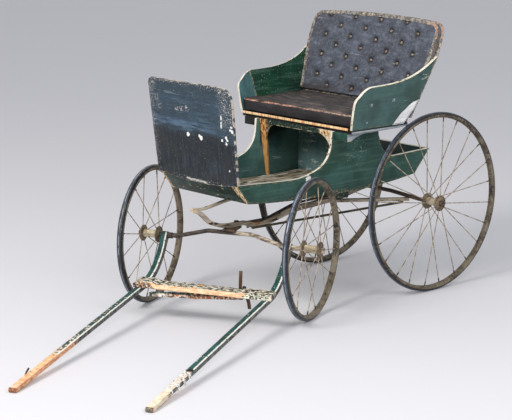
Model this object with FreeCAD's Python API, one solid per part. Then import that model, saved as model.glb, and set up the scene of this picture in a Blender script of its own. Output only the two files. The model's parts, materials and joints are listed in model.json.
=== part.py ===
"""Child's goat-drawn carriage: an open body with an upholstered seat, on four wire wheels.

Millimetres.  +Z is up, the front faces -Y and +X is the carriage's left.
The origin is on the ground, under the middle of the rear axle.
"""
import FreeCAD, Part
import math
import os

Vec = FreeCAD.Vector

# ---------------------------------------------------------------- driving dimensions
# Wheels
rear_wheel_r = 305.0
front_wheel_r = 228.6
rear_half_track = 271.0
front_half_track = 285.0
rear_spokes = 24
front_spokes = 16
spoke_r = 1.6
spoke_end_gap = 0.15
tyre_t = 11.0
tyre_w = 18.0
rim_t = 8.0
rim_w = 21.0
flange_r = 27.0
flange_t = 4.0
flange_offset = 28.0
barrel_r = 13.0
hub_half = 32.0

# Axles
axle_r = 7.0
running_gap = 0.07
nut_r = 10.0
nut_t = 9.0
nut_gap = 0.5
front_arch_z = 257.0
front_arch_half = 78.0
front_arch_foot = 191.0
rear_arch_z = 314.0
rear_arch_half = 70.0
rear_arch_foot = 205.0
arch_bend_r = 60.0
arch_foot_r = 30.0
seat_gap = 0.3

# Steering gear
king_y = -642.0
steer_deg = 25.0
king_lead = 50.0
king_r = 4.0
hound_plate_w = 46.0
hound_plate_t = 5.0
king_nut_t = 5.0
king_nut_r = 8.0

# Body
body_half = 190.0
board_t = 10.0
floor_t = 8.0
side_top_z = 576.0
dash_foot_y = -797.0
dash_foot_z = 449.0
belly_front_y = -756.0
belly_front_z = 385.0
belly_rear_y = -9.0
belly_rear_z = 393.0
belly_mid_y = -366.0
belly_mid_z = 370.0
belly_bulge_z = 373.5

# Dash
dash_bottom_half = 197.5
dash_top_half = 205.0
dash_top_y = -833.0
dash_top_z = 756.0
dash_t = 9.0
dash_dip = 14.0
dash_left_corner_r = 48.0
dash_right_corner_r = 20.0

# Seat
seat_half = 266.0
seat_front_y = -392.0
seat_board_t = 10.0
bracket_inset = 14.0
bracket_drop = 27.0
arm_flare = 0.2
arm_top_z = 802.0
arm_front_y = -386.0
right_arm_extra = 9.0
back_top_z = 911.0
back_top_half = 306.7
back_corner_r = 45.0
back_lean = 0.40
back_t = 4.5
back_foot_y = -124.5
back_pad_t = 22.0
arm_heel_z = 635.0
heel_notch_h = 16.0
wheel_clearance = 7.0
cushion_t = 54.0
seat_step = 8.0
seat_step_lip = 8.0
back_crown = 8.5
soft_gap = 0.6

# Seat riser
riser_lean_y = 30.0
riser_y = -385.0
riser_low = 372.0
divider_y = -205.0
arch_top_drop = 16.0
arch_top_half = 95.0
arch_spring_half = 158.0
arch_spring_z = 500.0
arch_foot_half = 171.0

# Reach and springs
reach_w = 14.0
reach_t = 13.0
reach_deep_t = 20.0
reach_tip_t = 10.0
reach_dip_z = 260.0
reach_rise_z = 292.0
reach_block_z = 301.0
upper_slat_t = 8.0
hound_w = 20.0
hound_t = 10.0
hound_end_x = 150.0
rod_r = 4.0
block_half = 30.0
stay_w = 12.0
stay_toe_y = -598.0
stay_t = 5.0
stay_top_y = -552.0
stay_top_z = 371.5
stay_foot_y = -524.0
stay_foot_l = 28.0
reach_tip_y = -828.0
reach_tip_z = 345.0
slat_tip_z = 350.0

# Shafts
shaft_w = 20.0
shaft_run_w = 22.5
shaft_narrow_y = -15.0
shaft_wide_y = -75.0
shaft_eye_d = 25.0
shaft_bar_d = 14.5
shaft_tip_d = 14.5
shaft_left_eye = 206.0
shaft_right_eye = -233.5
shaft_left_tip = 243.0
shaft_right_tip = -181.5
shaft_length = 1049.0
shaft_bend_x = 76.5
shaft_bend_z = 109.8
shaft_bend_r = 225.0
crossbar_length = 474.0
crossbar_d = 48.0
crossbar_t = 12.0
crossbar_x = 193.0
crossbar_mid = -2.5
crossbar_top_z = 119.0
crossbar_tilt = 9.0
crossbar_rack = 1.3
crossbar_chamfer = 10.0
chamfer_start = -193.5
chamfer_end = 156.5
left_cleat_t = 4.0
right_cleat_t = 6.0
cleat_slope = 15.0
swingle_length = 294.0
swingle_d = 24.0
swingle_t = 10.0
swingle_gap = 14.0
swingle_bolt_x = -29.5
swingle_turn = 8.5
trace_hole_r = 4.0
bolt_r = 4.0
upright_w = 11.0
upright_t = 4.5
upright_top = 58.0
upright_foot = 69.0
upright_x = 113.5
upright_lean = 6.0
upright_bend_x = 138.0
upright_foot_x = 141.0

# Worked out from the above
wheel_notch_half = min(rear_half_track - tyre_w / 2.0 - wheel_clearance, seat_half - 1.0)
wheel_notch_y = -math.sqrt(rear_wheel_r ** 2 - (side_top_z - rear_wheel_r) ** 2) - wheel_clearance
inner_half = body_half - board_t
seat_top_z = side_top_z + seat_board_t
flare_len = math.hypot(1.0, arm_flare)
lean_len = math.hypot(1.0, back_lean)
steer = math.radians(steer_deg)
king = Vec(0, king_y, 0)
axle_dir = Vec(math.cos(steer), math.sin(steer), 0)
ahead_dir = Vec(math.sin(steer), -math.cos(steer), 0)
front_axle_mid = king + ahead_dir * king_lead + Vec(0, 0, front_wheel_r)
rear_axle_mid = Vec(0, 0, rear_wheel_r)
plate_z = front_arch_z + axle_r
reach_z = plate_z + hound_plate_t + seat_gap


# ---------------------------------------------------------------- helpers
def edges_of(start, steps):
    """Edges from a start point through ("line", end) and ("arc", through, end) steps."""
    edges, here = [], start
    for step in steps:
        if step[0] == "line":
            edges.append(Part.LineSegment(here, step[1]).toShape())
        else:
            edges.append(Part.Arc(here, step[1], step[2]).toShape())
        here = step[-1]
    return edges


def outline(place, start, steps):
    """Closed face from 2-D steps, each point set in space by place(a, b)."""
    placed = [(s[0],) + tuple(place(*p) for p in s[1:]) for s in steps]
    first = place(*start)
    return Part.Face(Part.Wire(edges_of(first, placed)))


def side_view(x):
    """Placer for (y, z) points on the plane at this x."""
    return lambda y, z: Vec(x, y, z)


def box(x0, x1, y0, y1, z0, z1):
    return Part.makeBox(x1 - x0, y1 - y0, z1 - z0, Vec(x0, y0, z0))


def rounded_path(points, radii):
    """Wire of straight runs joined by tangent arcs, one radius per inner point."""
    edges, here = [], points[0]
    for before, corner, after, r in zip(points, points[1:], points[2:], radii):
        u = (before - corner).normalize()
        w = (after - corner).normalize()
        half = u.getAngle(w) / 2.0
        reach = r / math.tan(half)
        bisector = (u + w).normalize()
        middle = corner + bisector * (r / math.sin(half) - r)
        edges.append(Part.LineSegment(here, corner + u * reach).toShape())
        edges.append(Part.Arc(corner + u * reach, middle, corner + w * reach).toShape())
        here = corner + w * reach
    edges.append(Part.LineSegment(here, points[-1]).toShape())
    return Part.Wire(edges)


def round_rod(path, r):
    """Round rod swept along a wire."""
    start = path.Edges[0].valueAt(path.Edges[0].FirstParameter)
    along = path.Edges[0].tangentAt(path.Edges[0].FirstParameter)
    ring = Part.Wire(Part.makeCircle(r, start, along))
    return path.makePipeShell([ring], True, True)


def bent_bar(points, radii, thickness, x0, x1):
    """Flat bar whose centre line runs in side view through (y, z) points, spanning x0 to x1.

    The thickness is one number, or one for each point."""
    upper, lower = [], []
    n = len(points)
    halves = [t / 2.0 for t in thickness] if isinstance(thickness, list) else [thickness / 2.0] * n
    for i in range(n):
        a = points[max(i - 1, 0)]
        b = points[min(i + 1, n - 1)]
        p = points[i]
        if 0 < i < n - 1:
            u = Vec(p[0] - a[0], p[1] - a[1], 0).normalize()
            w = Vec(b[0] - p[0], b[1] - p[1], 0).normalize()
            m = (u + w).normalize()
            grow = 1.0 / max(m.dot(u), 0.2)
        else:
            m = Vec(b[0] - a[0], b[1] - a[1], 0).normalize()
            grow = 1.0
        off = Vec(-m.y, m.x, 0) * (halves[i] * grow)
        upper.append(Vec(x0, p[0] + off.x, p[1] + off.y))
        lower.append(Vec(x0, p[0] - off.x, p[1] - off.y))
    up_radii, low_radii = [], []
    for i in range(1, n - 1):
        a, p, b = points[i - 1], points[i], points[i + 1]
        turn = (p[0] - a[0]) * (b[1] - p[1]) - (p[1] - a[1]) * (b[0] - p[0])
        side = 1.0 if turn > 0 else -1.0
        up_radii.append(radii[i - 1] - side * halves[i])
        low_radii.append(radii[i - 1] + side * halves[i])
    top = rounded_path(upper, up_radii)
    bottom = rounded_path(lower, low_radii)
    ends = [Part.LineSegment(upper[0], lower[0]).toShape(),
            Part.LineSegment(upper[-1], lower[-1]).toShape()]
    wire = Part.Wire(Part.__sortEdges__(top.Edges + bottom.Edges + ends))
    return Part.Face(wire).extrude(Vec(x1 - x0, 0, 0))


def mirrored(shape):
    return shape.mirror(Vec(0, 0, 0), Vec(1, 0, 0))


def ring(profile, turns_about, axis):
    """Full revolve of a closed polygon of points."""
    face = Part.Face(Part.makePolygon(profile + profile[:1]))
    return face.revolve(turns_about, axis, 360)


def placed_on(shape, origin, x_dir):
    """Moves a shape made about the origin, with its own X along x_dir, to a place."""
    turn = FreeCAD.Rotation(Vec(1, 0, 0), x_dir)
    out = shape.copy()
    out.Placement = FreeCAD.Placement(origin, turn).multiply(out.Placement)
    return out


def steered(shape):
    """From the front axle's own frame (X along the axle, Y behind it) to the carriage."""
    turn = FreeCAD.Rotation(Vec(0, 0, 1), steer_deg)
    place = FreeCAD.Placement(Vec(front_axle_mid.x, front_axle_mid.y, 0), turn)
    out = shape.copy()
    out.Placement = place.multiply(out.Placement)
    return out


# ---------------------------------------------------------------- body
def body_silhouette(x):
    """Side view of the body's boards: a low foot well, a raised seat and a rear box."""
    return outline(side_view(x), (dash_foot_y, dash_foot_z), [
        ("line", (-592, 440)),
        ("arc", (-515, 444.5), (-452, 463)),
        ("arc", (-412, 499), (-399.5, 545)),
        ("line", (-397, side_top_z)),
        ("line", (-187, side_top_z)),
        ("line", (-185, 551)),
        ("arc", (-167, 500), (-122, 466)),
        ("line", (62.6, 473)),
        ("line", (belly_rear_y, belly_rear_z)),
        ("arc", (-190, belly_bulge_z), (belly_mid_y, belly_mid_z)),
        ("arc", (-600, belly_bulge_z), (belly_front_y, belly_front_z)),
        ("line", (dash_foot_y + 1.5, dash_foot_z - 12)),
        ("line", (dash_foot_y, dash_foot_z))])


def body_inside():
    """The space between the two side panels, out to the body's silhouette."""
    return body_silhouette(-inner_half).extrude(Vec(2 * inner_half, 0, 0))


def front_slab():
    y, z = belly_front_y, belly_front_z
    face = outline(side_view(-inner_half), (y, z), [
        ("line", (dash_foot_y + 1.5, dash_foot_z - 12)),
        ("line", (dash_foot_y - 1, dash_foot_z + 11)),
        ("line", (dash_foot_y + 9, dash_foot_z + 11)),
        ("line", (dash_foot_y + 10.7, dash_foot_z - 9.5)),
        ("line", (y + 14.5, z - 4)),
        ("line", (y, z - 15)),
        ("line", (y, z))])
    return face.extrude(Vec(2 * inner_half, 0, 0))


def rear_slab():
    y, z = belly_rear_y, belly_rear_z
    face = outline(side_view(-inner_half), (y, z), [
        ("line", (y + 80.6, z + 90)),
        ("line", (y + 67.2, z + 90)),
        ("line", (y - 21, z - 8.5)),
        ("line", (y, z - 13)),
        ("line", (y, z))])
    return face.extrude(Vec(2 * inner_half, 0, 0))


def side_panel_left():
    return body_silhouette(inner_half).extrude(Vec(board_t, 0, 0))


def side_panel_right():
    return mirrored(side_panel_left())


def front_panel():
    return body_inside().common(front_slab())


def rear_board():
    return body_inside().common(rear_slab())


def bottom_board():
    bulge, t = belly_bulge_z, floor_t
    face = outline(side_view(-inner_half), (belly_rear_y, belly_rear_z), [
        ("arc", (-190, bulge), (belly_mid_y, belly_mid_z)),
        ("arc", (-600, bulge), (belly_front_y, belly_front_z)),
        ("line", (belly_front_y, belly_front_z + t)),
        ("arc", (-600, bulge + t), (belly_mid_y, belly_mid_z + t)),
        ("arc", (-190, bulge + t), (belly_rear_y, belly_rear_z + t)),
        ("line", (belly_rear_y, belly_rear_z))])
    strip = face.extrude(Vec(2 * inner_half, 0, 0))
    return strip.cut(front_slab()).cut(rear_slab())


def dash_board():
    """Leaning splash board in front of the foot well, with round top corners."""
    foot = Vec(0, dash_foot_y, dash_foot_z)
    lean = Vec(0, dash_top_y, dash_top_z) - foot
    up = Vec(lean).normalize()
    out = Vec(0, -up.z, up.y)
    height = lean.Length

    def place(x, t):
        return Vec(x, 0, 0) + foot + up * t

    rl, rr = dash_left_corner_r, dash_right_corner_r
    k = 1.0 - math.sqrt(0.5)
    face = outline(place, (-dash_bottom_half, 0), [
        ("arc", (0, -dash_dip), (dash_bottom_half, 0)),
        ("line", (dash_top_half, height - rl)),
        ("arc", (dash_top_half - rl * k, height - rl * k), (dash_top_half - rl, height)),
        ("line", (-dash_top_half + rr, height)),
        ("arc", (-dash_top_half + rr * k, height - rr * k), (-dash_top_half, height - rr)),
        ("line", (-dash_bottom_half, 0))])
    return face.extrude(out * dash_t)


def seat_riser():
    """Board under the seat's front edge, cut out in a wide arch down to the floor."""
    top = side_top_z
    low = riser_low
    a, b = arch_top_half, arch_spring_half
    arch_z = top - arch_top_drop

    def slope(z):
        return riser_y + riser_lean_y * (top - z) / (top - low)

    def place(x, z):
        return Vec(x, slope(z), z)

    face = outline(place, (-inner_half, low), [
        ("line", (-inner_half, top)),
        ("line", (inner_half, top)),
        ("line", (inner_half, low)),
        ("line", (arch_foot_half, low)),
        ("line", (b, arch_spring_z)),
        ("arc", (b - 14, arch_z - 17), (a, arch_z)),
        ("line", (-a, arch_z)),
        ("arc", (-b + 14, arch_z - 17), (-b, arch_spring_z)),
        ("line", (-arch_foot_half, low)),
        ("line", (-inner_half, low))])
    board = face.extrude(Vec(0, board_t, 0))
    return board.cut(bottom_board()).common(body_inside())


def box_divider():
    """Upright board that shuts the rear box off from the space under the seat."""
    board = box(-inner_half, inner_half, divider_y, divider_y + board_t, riser_low - 10,
                side_top_z)
    return board.cut(bottom_board()).common(body_inside())


# ---------------------------------------------------------------- seat
def arm_x(z):
    """Outer face of the flared arms at this height."""
    return seat_half + arm_flare * (z - seat_top_z)


def back_y(z):
    """Front face of the back board at this height."""
    return back_foot_y + back_lean * (z - seat_top_z)


def seat_board():
    """Seat board, stepped up between the arms, its rear corners clear of the wheels."""
    rear = back_foot_y + back_t * lean_len + 3.0
    front = seat_front_y + seat_step_lip
    face = outline(lambda x, y: Vec(x, y, side_top_z), (-seat_half, front), [
        ("line", (seat_half, front)),
        ("line", (seat_half, wheel_notch_y)),
        ("line", (wheel_notch_half, wheel_notch_y)),
        ("line", (wheel_notch_half, rear)),
        ("line", (-wheel_notch_half, rear)),
        ("line", (-wheel_notch_half, wheel_notch_y)),
        ("line", (-seat_half, wheel_notch_y)),
        ("line", (-seat_half, front))])
    board = face.extrude(Vec(0, 0, seat_board_t))
    half = arm_x(seat_top_z) - board_t * flare_len - 0.2
    step = box(-half, half, seat_front_y, back_foot_y - 1.5, seat_top_z, seat_top_z + seat_step)
    return board.fuse(step).removeSplitter()


def seat_bracket_left():
    """Tapered wooden bracket under the seat board's overhang."""
    front = seat_front_y + 4.0
    rear = front + 241.0
    face = outline(side_view(body_half), (front, side_top_z), [
        ("line", (rear, side_top_z)),
        ("line", (rear, side_top_z - 4)),
        ("line", (front + 88, side_top_z - 7)),
        ("arc", (front + 43, side_top_z - 14), (front + 16, side_top_z - bracket_drop)),
        ("line", (front, side_top_z - bracket_drop)),
        ("line", (front, side_top_z))])
    return face.extrude(Vec(seat_half - body_half - bracket_inset, 0, 0))


def seat_bracket_right():
    return mirrored(seat_bracket_left())


def arm_panel(extra):
    """Flared left arm with a rounded front, this much longer, and a top that sweeps up behind."""
    foot = seat_top_z - 8.0
    front = arm_front_y - extra

    def place(y, z):
        return Vec(arm_x(z), y, z)

    face = outline(place, (front + 4, foot), [
        ("line", (front + 4, seat_top_z)),
        ("arc", (front, 635), (front, 668)),
        ("arc", (front + 3, 681), (front + 14, 693)),
        ("line", (front + 29, 707)),
        ("arc", (front + 44, 717), (-318, 723.5)),
        ("line", (-262, 725)),
        ("arc", (-216, 728.5), (-168, 736.5)),
        ("arc", (-98, 762), (back_y(arm_top_z), arm_top_z)),
        ("line", (back_y(arm_heel_z), arm_heel_z)),
        ("line", (wheel_notch_y, seat_top_z)),
        ("line", (wheel_notch_y, foot)),
        ("line", (front + 4, foot))])
    inward = Vec(-1.0, 0, arm_flare).normalize() * board_t
    panel = face.extrude(inward)
    below = box(-400, 400, -500, 100, foot - 20, seat_top_z)
    return panel.cut(below).cut(back_board())


def arm_panel_left():
    return arm_panel(0.0)


def arm_panel_right():
    return mirrored(arm_panel(right_arm_extra))


def back_outline(y_shift, bottom_z, bottom_half, shoulder_z, shoulder_half, top_z, top_half, r):
    """Back shape in its leaning plane, given by heights and half widths."""
    k = 1.0 - math.sqrt(0.5)

    def place(x, z):
        return Vec(x, back_y(z) + y_shift, z)

    steps = [("line", (bottom_half, bottom_z)),
             ("line", (shoulder_half, shoulder_z)),
             ("line", (top_half, top_z - r)),
             ("arc", (top_half - r * k, top_z - r * k), (top_half - r, top_z)),
             ("arc", (0, top_z + back_crown), (-top_half + r, top_z)),
             ("arc", (-top_half + r * k, top_z - r * k), (-top_half, top_z - r)),
             ("line", (-shoulder_half, shoulder_z)),
             ("line", (-bottom_half, bottom_z))]
    return outline(place, (-bottom_half, bottom_z), steps)


def back_board():
    foot = seat_top_z - 8.0
    face = back_outline(0, foot, arm_x(foot), arm_top_z, arm_x(arm_top_z),
                        back_top_z, back_top_half, back_corner_r)
    board = face.extrude(Vec(0, back_t / lean_len, -back_t * back_lean / lean_len))
    board = board.cut(box(-400, 400, -300, 300, foot - 30, seat_top_z))
    heel = box(wheel_notch_half, 400, -300, 300, foot, seat_top_z + heel_notch_h)
    return board.cut(heel).cut(mirrored(heel))


def back_cushion():
    """Plain block of the tufted back pad."""
    inset = board_t * flare_len + soft_gap + 0.2
    low = seat_top_z + cushion_t + 2.5
    face = back_outline(-soft_gap, low, arm_x(low) - inset, arm_top_z, arm_x(arm_top_z) - inset,
                        back_top_z - 6.0, back_top_half - 8.0, back_corner_r - 6.0)
    return face.extrude(Vec(0, -back_pad_t / lean_len, back_pad_t * back_lean / lean_len))


def seat_cushion():
    """Plain block of the seat pad, its sides flared with the arms."""
    wires = []
    for z in (seat_top_z + seat_step + seat_gap, seat_top_z + cushion_t):
        half = arm_x(z) - board_t * flare_len - soft_gap
        rear = back_y(z) - soft_gap
        front = seat_front_y + 3.0
        wires.append(Part.makePolygon([Vec(-half, front, z), Vec(half, front, z),
                                       Vec(half, rear, z), Vec(-half, rear, z),
                                       Vec(-half, front, z)]))
    return Part.makeLoft(wires, True, True)


# ---------------------------------------------------------------- reach and springs
reach_mid_z = reach_z + reach_t / 2.0
rear_reach_z = rear_arch_z + axle_r + reach_t / 2.0
reach_line = [
    # (y, z, thickness, radius of the bend there)
    (reach_tip_y, reach_tip_z, reach_tip_t, 0),
    (-794, 333, reach_t, 50),
    (-756, 296, reach_t, 70),
    (-700, reach_mid_z, reach_t, 150),
    (-608, reach_mid_z, reach_t, 60),
    (-568, reach_dip_z, reach_deep_t, 60),
    (-535, reach_dip_z, reach_deep_t, 150),
    (-400, reach_rise_z, reach_deep_t, 300),
    (-200, reach_block_z, reach_t, 300),
    (-60, rear_reach_z, reach_t, 200),
    (14, rear_reach_z, reach_t, 0),
]


def reach_pole():
    """Bent wooden reach: turned up in front of the front axle, low behind it, up to the rear."""
    points = [(y, z) for y, z, t, r in reach_line]
    thickness = [t for y, z, t, r in reach_line]
    radii = [r for y, z, t, r in reach_line[1:-1]]
    bar = bent_bar(points, radii, thickness, -reach_w / 2, reach_w / 2)
    hole = Part.makeCylinder(king_r, 60, king + Vec(0, 0, reach_z - 20))
    return bar.cut(hole)


def upper_spring_slat():
    """Thinner slat that runs back from the reach's front tip to the body's underside."""
    y, z = reach_tip_y - 2.0, slat_tip_z
    points = [(y, z), (y + 47, z - 7), (y + 140, z + 9), (y + 270, belly_bulge_z - 4.5)]
    slat = bent_bar(points, [120, 200], upper_slat_t, -reach_w / 2, reach_w / 2)
    return slat.cut(reach_pole()).cut(bottom_board()).cut(front_panel())


def king_bolt():
    """Bolt through the reach and the axle's plate, with its head and nut."""
    low = plate_z - seat_gap
    shank = Part.makeCylinder(king_r, reach_z + reach_t - low, king + Vec(0, 0, low))
    head = Part.makeCylinder(king_nut_r, king_nut_t, king + Vec(0, 0, reach_z + reach_t))
    nut = Part.makeCylinder(king_nut_r, king_nut_t, king + Vec(0, 0, low - king_nut_t))
    return shank.fuse(head).fuse(nut).removeSplitter()


def reach_block():
    """Wooden block that carries the body's belly on the reach."""
    block = box(-block_half, block_half, -228, -166, 280, 385)
    under = body_silhouette(-block_half - 1).extrude(Vec(2 * block_half + 2, 0, 0))
    rest = block.cut(under).cut(reach_pole())
    solids = sorted(rest.Solids, key=lambda s: -s.BoundBox.ZMax)
    floor = box(-100, 100, -400, 0, 200, reach_block_z + reach_t / 2.0 - 1.0)
    return solids[0].cut(floor)


def rear_axle_z(x):
    """Height of the rear axle's centre line at this distance from the middle."""
    share = (x - rear_arch_half) / (rear_arch_foot - rear_arch_half)
    return rear_arch_z - (rear_arch_z - rear_wheel_r) * min(max(share, 0.0), 1.0)


hound_top = rear_axle_z(hound_end_x + hound_w / 2.0) - axle_r


def rear_hound_left():
    """Slat that spreads from the reach to the left end of the rear axle."""
    a = Vec(0, -212, hound_top)
    b = Vec(hound_end_x, 6, hound_top)
    d = (b - a).normalize()
    n = Vec(-d.y, d.x, 0) * (hound_w / 2)
    face = Part.Face(Part.makePolygon([a + n, b + n, b - n, a - n, a + n]))
    slat = face.extrude(Vec(0, 0, -hound_t))
    return slat.common(box(reach_w / 2, 400, -400, 100, 0, 500))


def rear_hound_right():
    return mirrored(rear_hound_left())


def reach_rod_left():
    """Thin iron rod from beside the reach to the underside of the rear hound."""
    a = Vec(reach_w / 2.0 + rod_r + seat_gap, -585, reach_dip_z - 4.0)
    b = Vec(hound_end_x - 8, -14, hound_top - hound_t - rod_r)
    d = b - a
    return Part.makeCylinder(rod_r, d.Length, a, d)


def reach_rod_right():
    return mirrored(reach_rod_left())


def reach_stay():
    """Flat iron strut under the body, with a toe on the reach and a tail back to the block."""
    foot_z = reach_dip_z + (reach_deep_t + stay_t) / 2.0 + 3.5
    points = [(stay_top_y, stay_top_z), (stay_foot_y, foot_z),
              (stay_foot_y + stay_foot_l, foot_z + 4.5), (-390, 309.5), (-220, 318)]
    bar = bent_bar(points, [9, 60, 150], stay_t, -stay_w / 2, stay_w / 2)
    toe = box(-stay_w / 2, stay_w / 2, stay_toe_y, stay_foot_y + 4.0,
              foot_z - stay_t / 2.0, foot_z + stay_t / 2.0)
    bar = bar.fuse(toe)
    return bar.cut(reach_pole()).cut(bottom_board()).cut(reach_block())


def rear_pedestal():
    """Block between the reach's rear end and the body's underside."""
    block = box(-24, 24, -52, -12, rear_reach_z + reach_t / 2.0, 400)
    return block.cut(body_silhouette(-40).extrude(Vec(80, 0, 0)))


def arched_axle(half_track, wheel_r, arch_z, arch_half, arch_foot):
    """Round axle in its own frame, straight in the hubs and raised in the middle."""
    end = half_track + hub_half + nut_gap + nut_t
    path = rounded_path([Vec(-end, 0, wheel_r), Vec(-arch_foot, 0, wheel_r),
                         Vec(-arch_half, 0, arch_z), Vec(arch_half, 0, arch_z),
                         Vec(arch_foot, 0, wheel_r), Vec(end, 0, wheel_r)],
                        [arch_foot_r, arch_bend_r, arch_bend_r, arch_foot_r])
    axle = round_rod(path, axle_r)
    for side in (1, -1):
        base = half_track + hub_half + nut_gap
        axle = axle.fuse(Part.makeCylinder(nut_r, nut_t, Vec(side * base, 0, wheel_r),
                                           Vec(side, 0, 0)))
    return axle.removeSplitter()


def rear_axle():
    return arched_axle(rear_half_track, rear_wheel_r, rear_arch_z, rear_arch_half,
                       rear_arch_foot)


# ---------------------------------------------------------------- front axle, steered
def front_axle():
    axle = arched_axle(front_half_track, front_wheel_r, front_arch_z, front_arch_half,
                       front_arch_foot)
    inner_left = shaft_left_eye - shaft_w / 2.0 - 0.6
    inner_right = shaft_right_eye + shaft_w / 2.0 + 0.6
    left = Part.makeCylinder(nut_r, 9, Vec(inner_left - 9, 0, front_wheel_r), Vec(1, 0, 0))
    right = Part.makeCylinder(nut_r, 16, Vec(inner_right, 0, front_wheel_r), Vec(1, 0, 0))
    return steered(axle.fuse(left).fuse(right).removeSplitter())


def hound_plate():
    """Iron plate on the front axle's arch, bored for the king bolt behind it."""
    w = hound_plate_w / 2.0
    face = outline(lambda x, y: Vec(x, y, plate_z), (-w, -14), [
        ("line", (w, -14)),
        ("line", (w * 0.75, king_lead)),
        ("arc", (0, king_lead + w * 0.75), (-w * 0.75, king_lead)),
        ("line", (-w, -14))])
    plate = face.extrude(Vec(0, 0, hound_plate_t))
    hole = Part.makeCylinder(king_r + running_gap, 40, Vec(0, king_lead, plate_z - 20))
    return steered(plate.cut(hole))


# ---------------------------------------------------------------- wheels
def tyre(radius):
    """Solid tyre about the X axis, round on the outside."""
    inner = radius - tyre_t
    w = tyre_w / 2.0
    pts = [Vec(-w, 0, inner), Vec(-w, 0, radius - 4), Vec(-w + 4, 0, radius),
           Vec(w - 4, 0, radius), Vec(w, 0, radius - 4), Vec(w, 0, inner)]
    return ring(pts, Vec(0, 0, 0), Vec(1, 0, 0))


def rim(radius):
    """Channel rim with low side flanges that hold the tyre."""
    seat = radius - tyre_t
    inner = seat - rim_t
    w = rim_w / 2.0
    t = tyre_w / 2.0
    pts = [Vec(-w, 0, inner + 3), Vec(-w, 0, seat + 3), Vec(-t, 0, seat + 3),
           Vec(-t, 0, seat), Vec(t, 0, seat), Vec(t, 0, seat + 3),
           Vec(w, 0, seat + 3), Vec(w, 0, inner + 3), Vec(w - 5, 0, inner),
           Vec(-w + 5, 0, inner)]
    return ring(pts, Vec(0, 0, 0), Vec(1, 0, 0))


def hub_and_spokes(radius, count):
    """Hub with two flanges, and wire spokes that run to them in turn."""
    bore = axle_r + running_gap
    o, t = flange_offset, flange_t / 2.0
    half = [(hub_half, bore), (hub_half, barrel_r - 2), (o + t, barrel_r), (o + t, flange_r),
            (o - t, flange_r), (o - t, barrel_r)]
    pts = [Vec(x, 0, r) for x, r in half] + [Vec(-x, 0, r) for x, r in reversed(half)]
    hub = ring(pts, Vec(0, 0, 0), Vec(1, 0, 0))
    end_r = radius - tyre_t - rim_t - spoke_end_gap
    spokes = []
    for i in range(count):
        side = 1 if i % 2 else -1
        angle = 2 * math.pi * (i + 0.5) / count
        radial = Vec(0, math.cos(angle), math.sin(angle))
        a = Vec(side * o, 0, 0) + radial * (flange_r - 3.0)
        b = Vec(side * 2.0, 0, 0) + radial * end_r
        d = b - a
        spokes.append(Part.makeCylinder(spoke_r, d.Length, a, d))
    return hub.multiFuse(spokes)


wheels = {
    # name: (centre, axle direction, radius, spokes)
    "rear_left": (rear_axle_mid + Vec(rear_half_track, 0, 0), Vec(1, 0, 0),
                  rear_wheel_r, rear_spokes),
    "rear_right": (rear_axle_mid - Vec(rear_half_track, 0, 0), Vec(1, 0, 0),
                   rear_wheel_r, rear_spokes),
    "front_left": (front_axle_mid + axle_dir * front_half_track, axle_dir,
                   front_wheel_r, front_spokes),
    "front_right": (front_axle_mid - axle_dir * front_half_track, axle_dir,
                    front_wheel_r, front_spokes),
}


# ---------------------------------------------------------------- shafts
def shaft_outline(x):
    """Side view of a shaft in the axle's frame: y runs back from the axle, z up."""
    z0 = front_wheel_r
    eye, bar, tip = shaft_eye_d / 2.0, shaft_bar_d / 2.0, shaft_tip_d / 2.0
    bend = Vec(x, -shaft_bend_x, shaft_bend_z)
    down = (bend - Vec(x, 0, z0)).normalize()
    end = Vec(x, -shaft_length, tip)
    run = (end - bend).normalize()
    n_down = Vec(0, -down.z, down.y)
    n_run = Vec(0, -run.z, run.y)
    half = down.getAngle(run) / 2.0
    turn = (n_down + n_run).normalize()
    centre = Vec(x, 0, z0)
    lower = [centre + n_down * eye, bend + turn * (bar / math.cos(half)), end + n_run * tip]
    upper = [centre - n_down * eye, bend - turn * (bar / math.cos(half)), end - n_run * tip]
    if lower[1].z > upper[1].z:
        lower, upper = upper, lower
    low = rounded_path(lower, [shaft_bend_r + bar])
    high = rounded_path(upper, [shaft_bend_r - bar])
    back = Part.Arc(lower[0], centre - down * eye, upper[0]).toShape()
    nose = Part.Arc(lower[-1], end + run * tip, upper[-1]).toShape()
    wire = Part.Wire(Part.__sortEdges__(low.Edges + high.Edges + [back, nose]))
    return Part.Face(wire)


def one_shaft(eye_x, tip_x):
    """Bent wooden shaft, hung by its bored end on the axle, with its tip on the ground."""
    face = shaft_outline(eye_x - shaft_run_w / 2.0)
    shaft = face.extrude(Vec(shaft_run_w, 0, 0))
    for way in (1, -1):
        thin, wide, out = (eye_x + way * w for w in (shaft_w / 2.0, shaft_run_w / 2.0, 40))
        points = [Vec(x, y, 0) for x, y in ((thin, 40), (thin, shaft_narrow_y),
                                            (wide, shaft_wide_y), (out, shaft_wide_y),
                                            (out, 40), (thin, 40))]
        shaft = shaft.cut(Part.Face(Part.makePolygon(points)).extrude(Vec(0, 0, 400)))
    toe = math.degrees(math.atan2(tip_x - eye_x, shaft_length))
    shaft.rotate(Vec(eye_x, 0, 0), Vec(0, 0, 1), toe)
    bore = Part.makeCylinder(axle_r + running_gap, 80, Vec(eye_x - 40, 0, front_wheel_r),
                             Vec(1, 0, 0))
    return shaft.cut(bore)


def on_bar(shape):
    """From the crossbar's own frame (its top at z = 0) to the axle's frame."""
    tilt = FreeCAD.Placement(Vec(0, 0, 0), FreeCAD.Rotation(Vec(1, 0, 0), crossbar_tilt))
    rack = FreeCAD.Placement(Vec(crossbar_mid, -crossbar_x, crossbar_top_z),
                             FreeCAD.Rotation(Vec(0, 0, 1), crossbar_rack))
    out = shape.copy()
    out.Placement = rack.multiply(tilt).multiply(out.Placement)
    return out


def bar_blank():
    return box(-crossbar_length / 2, crossbar_length / 2, -crossbar_d / 2, crossbar_d / 2,
               -crossbar_t, 0)


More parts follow.
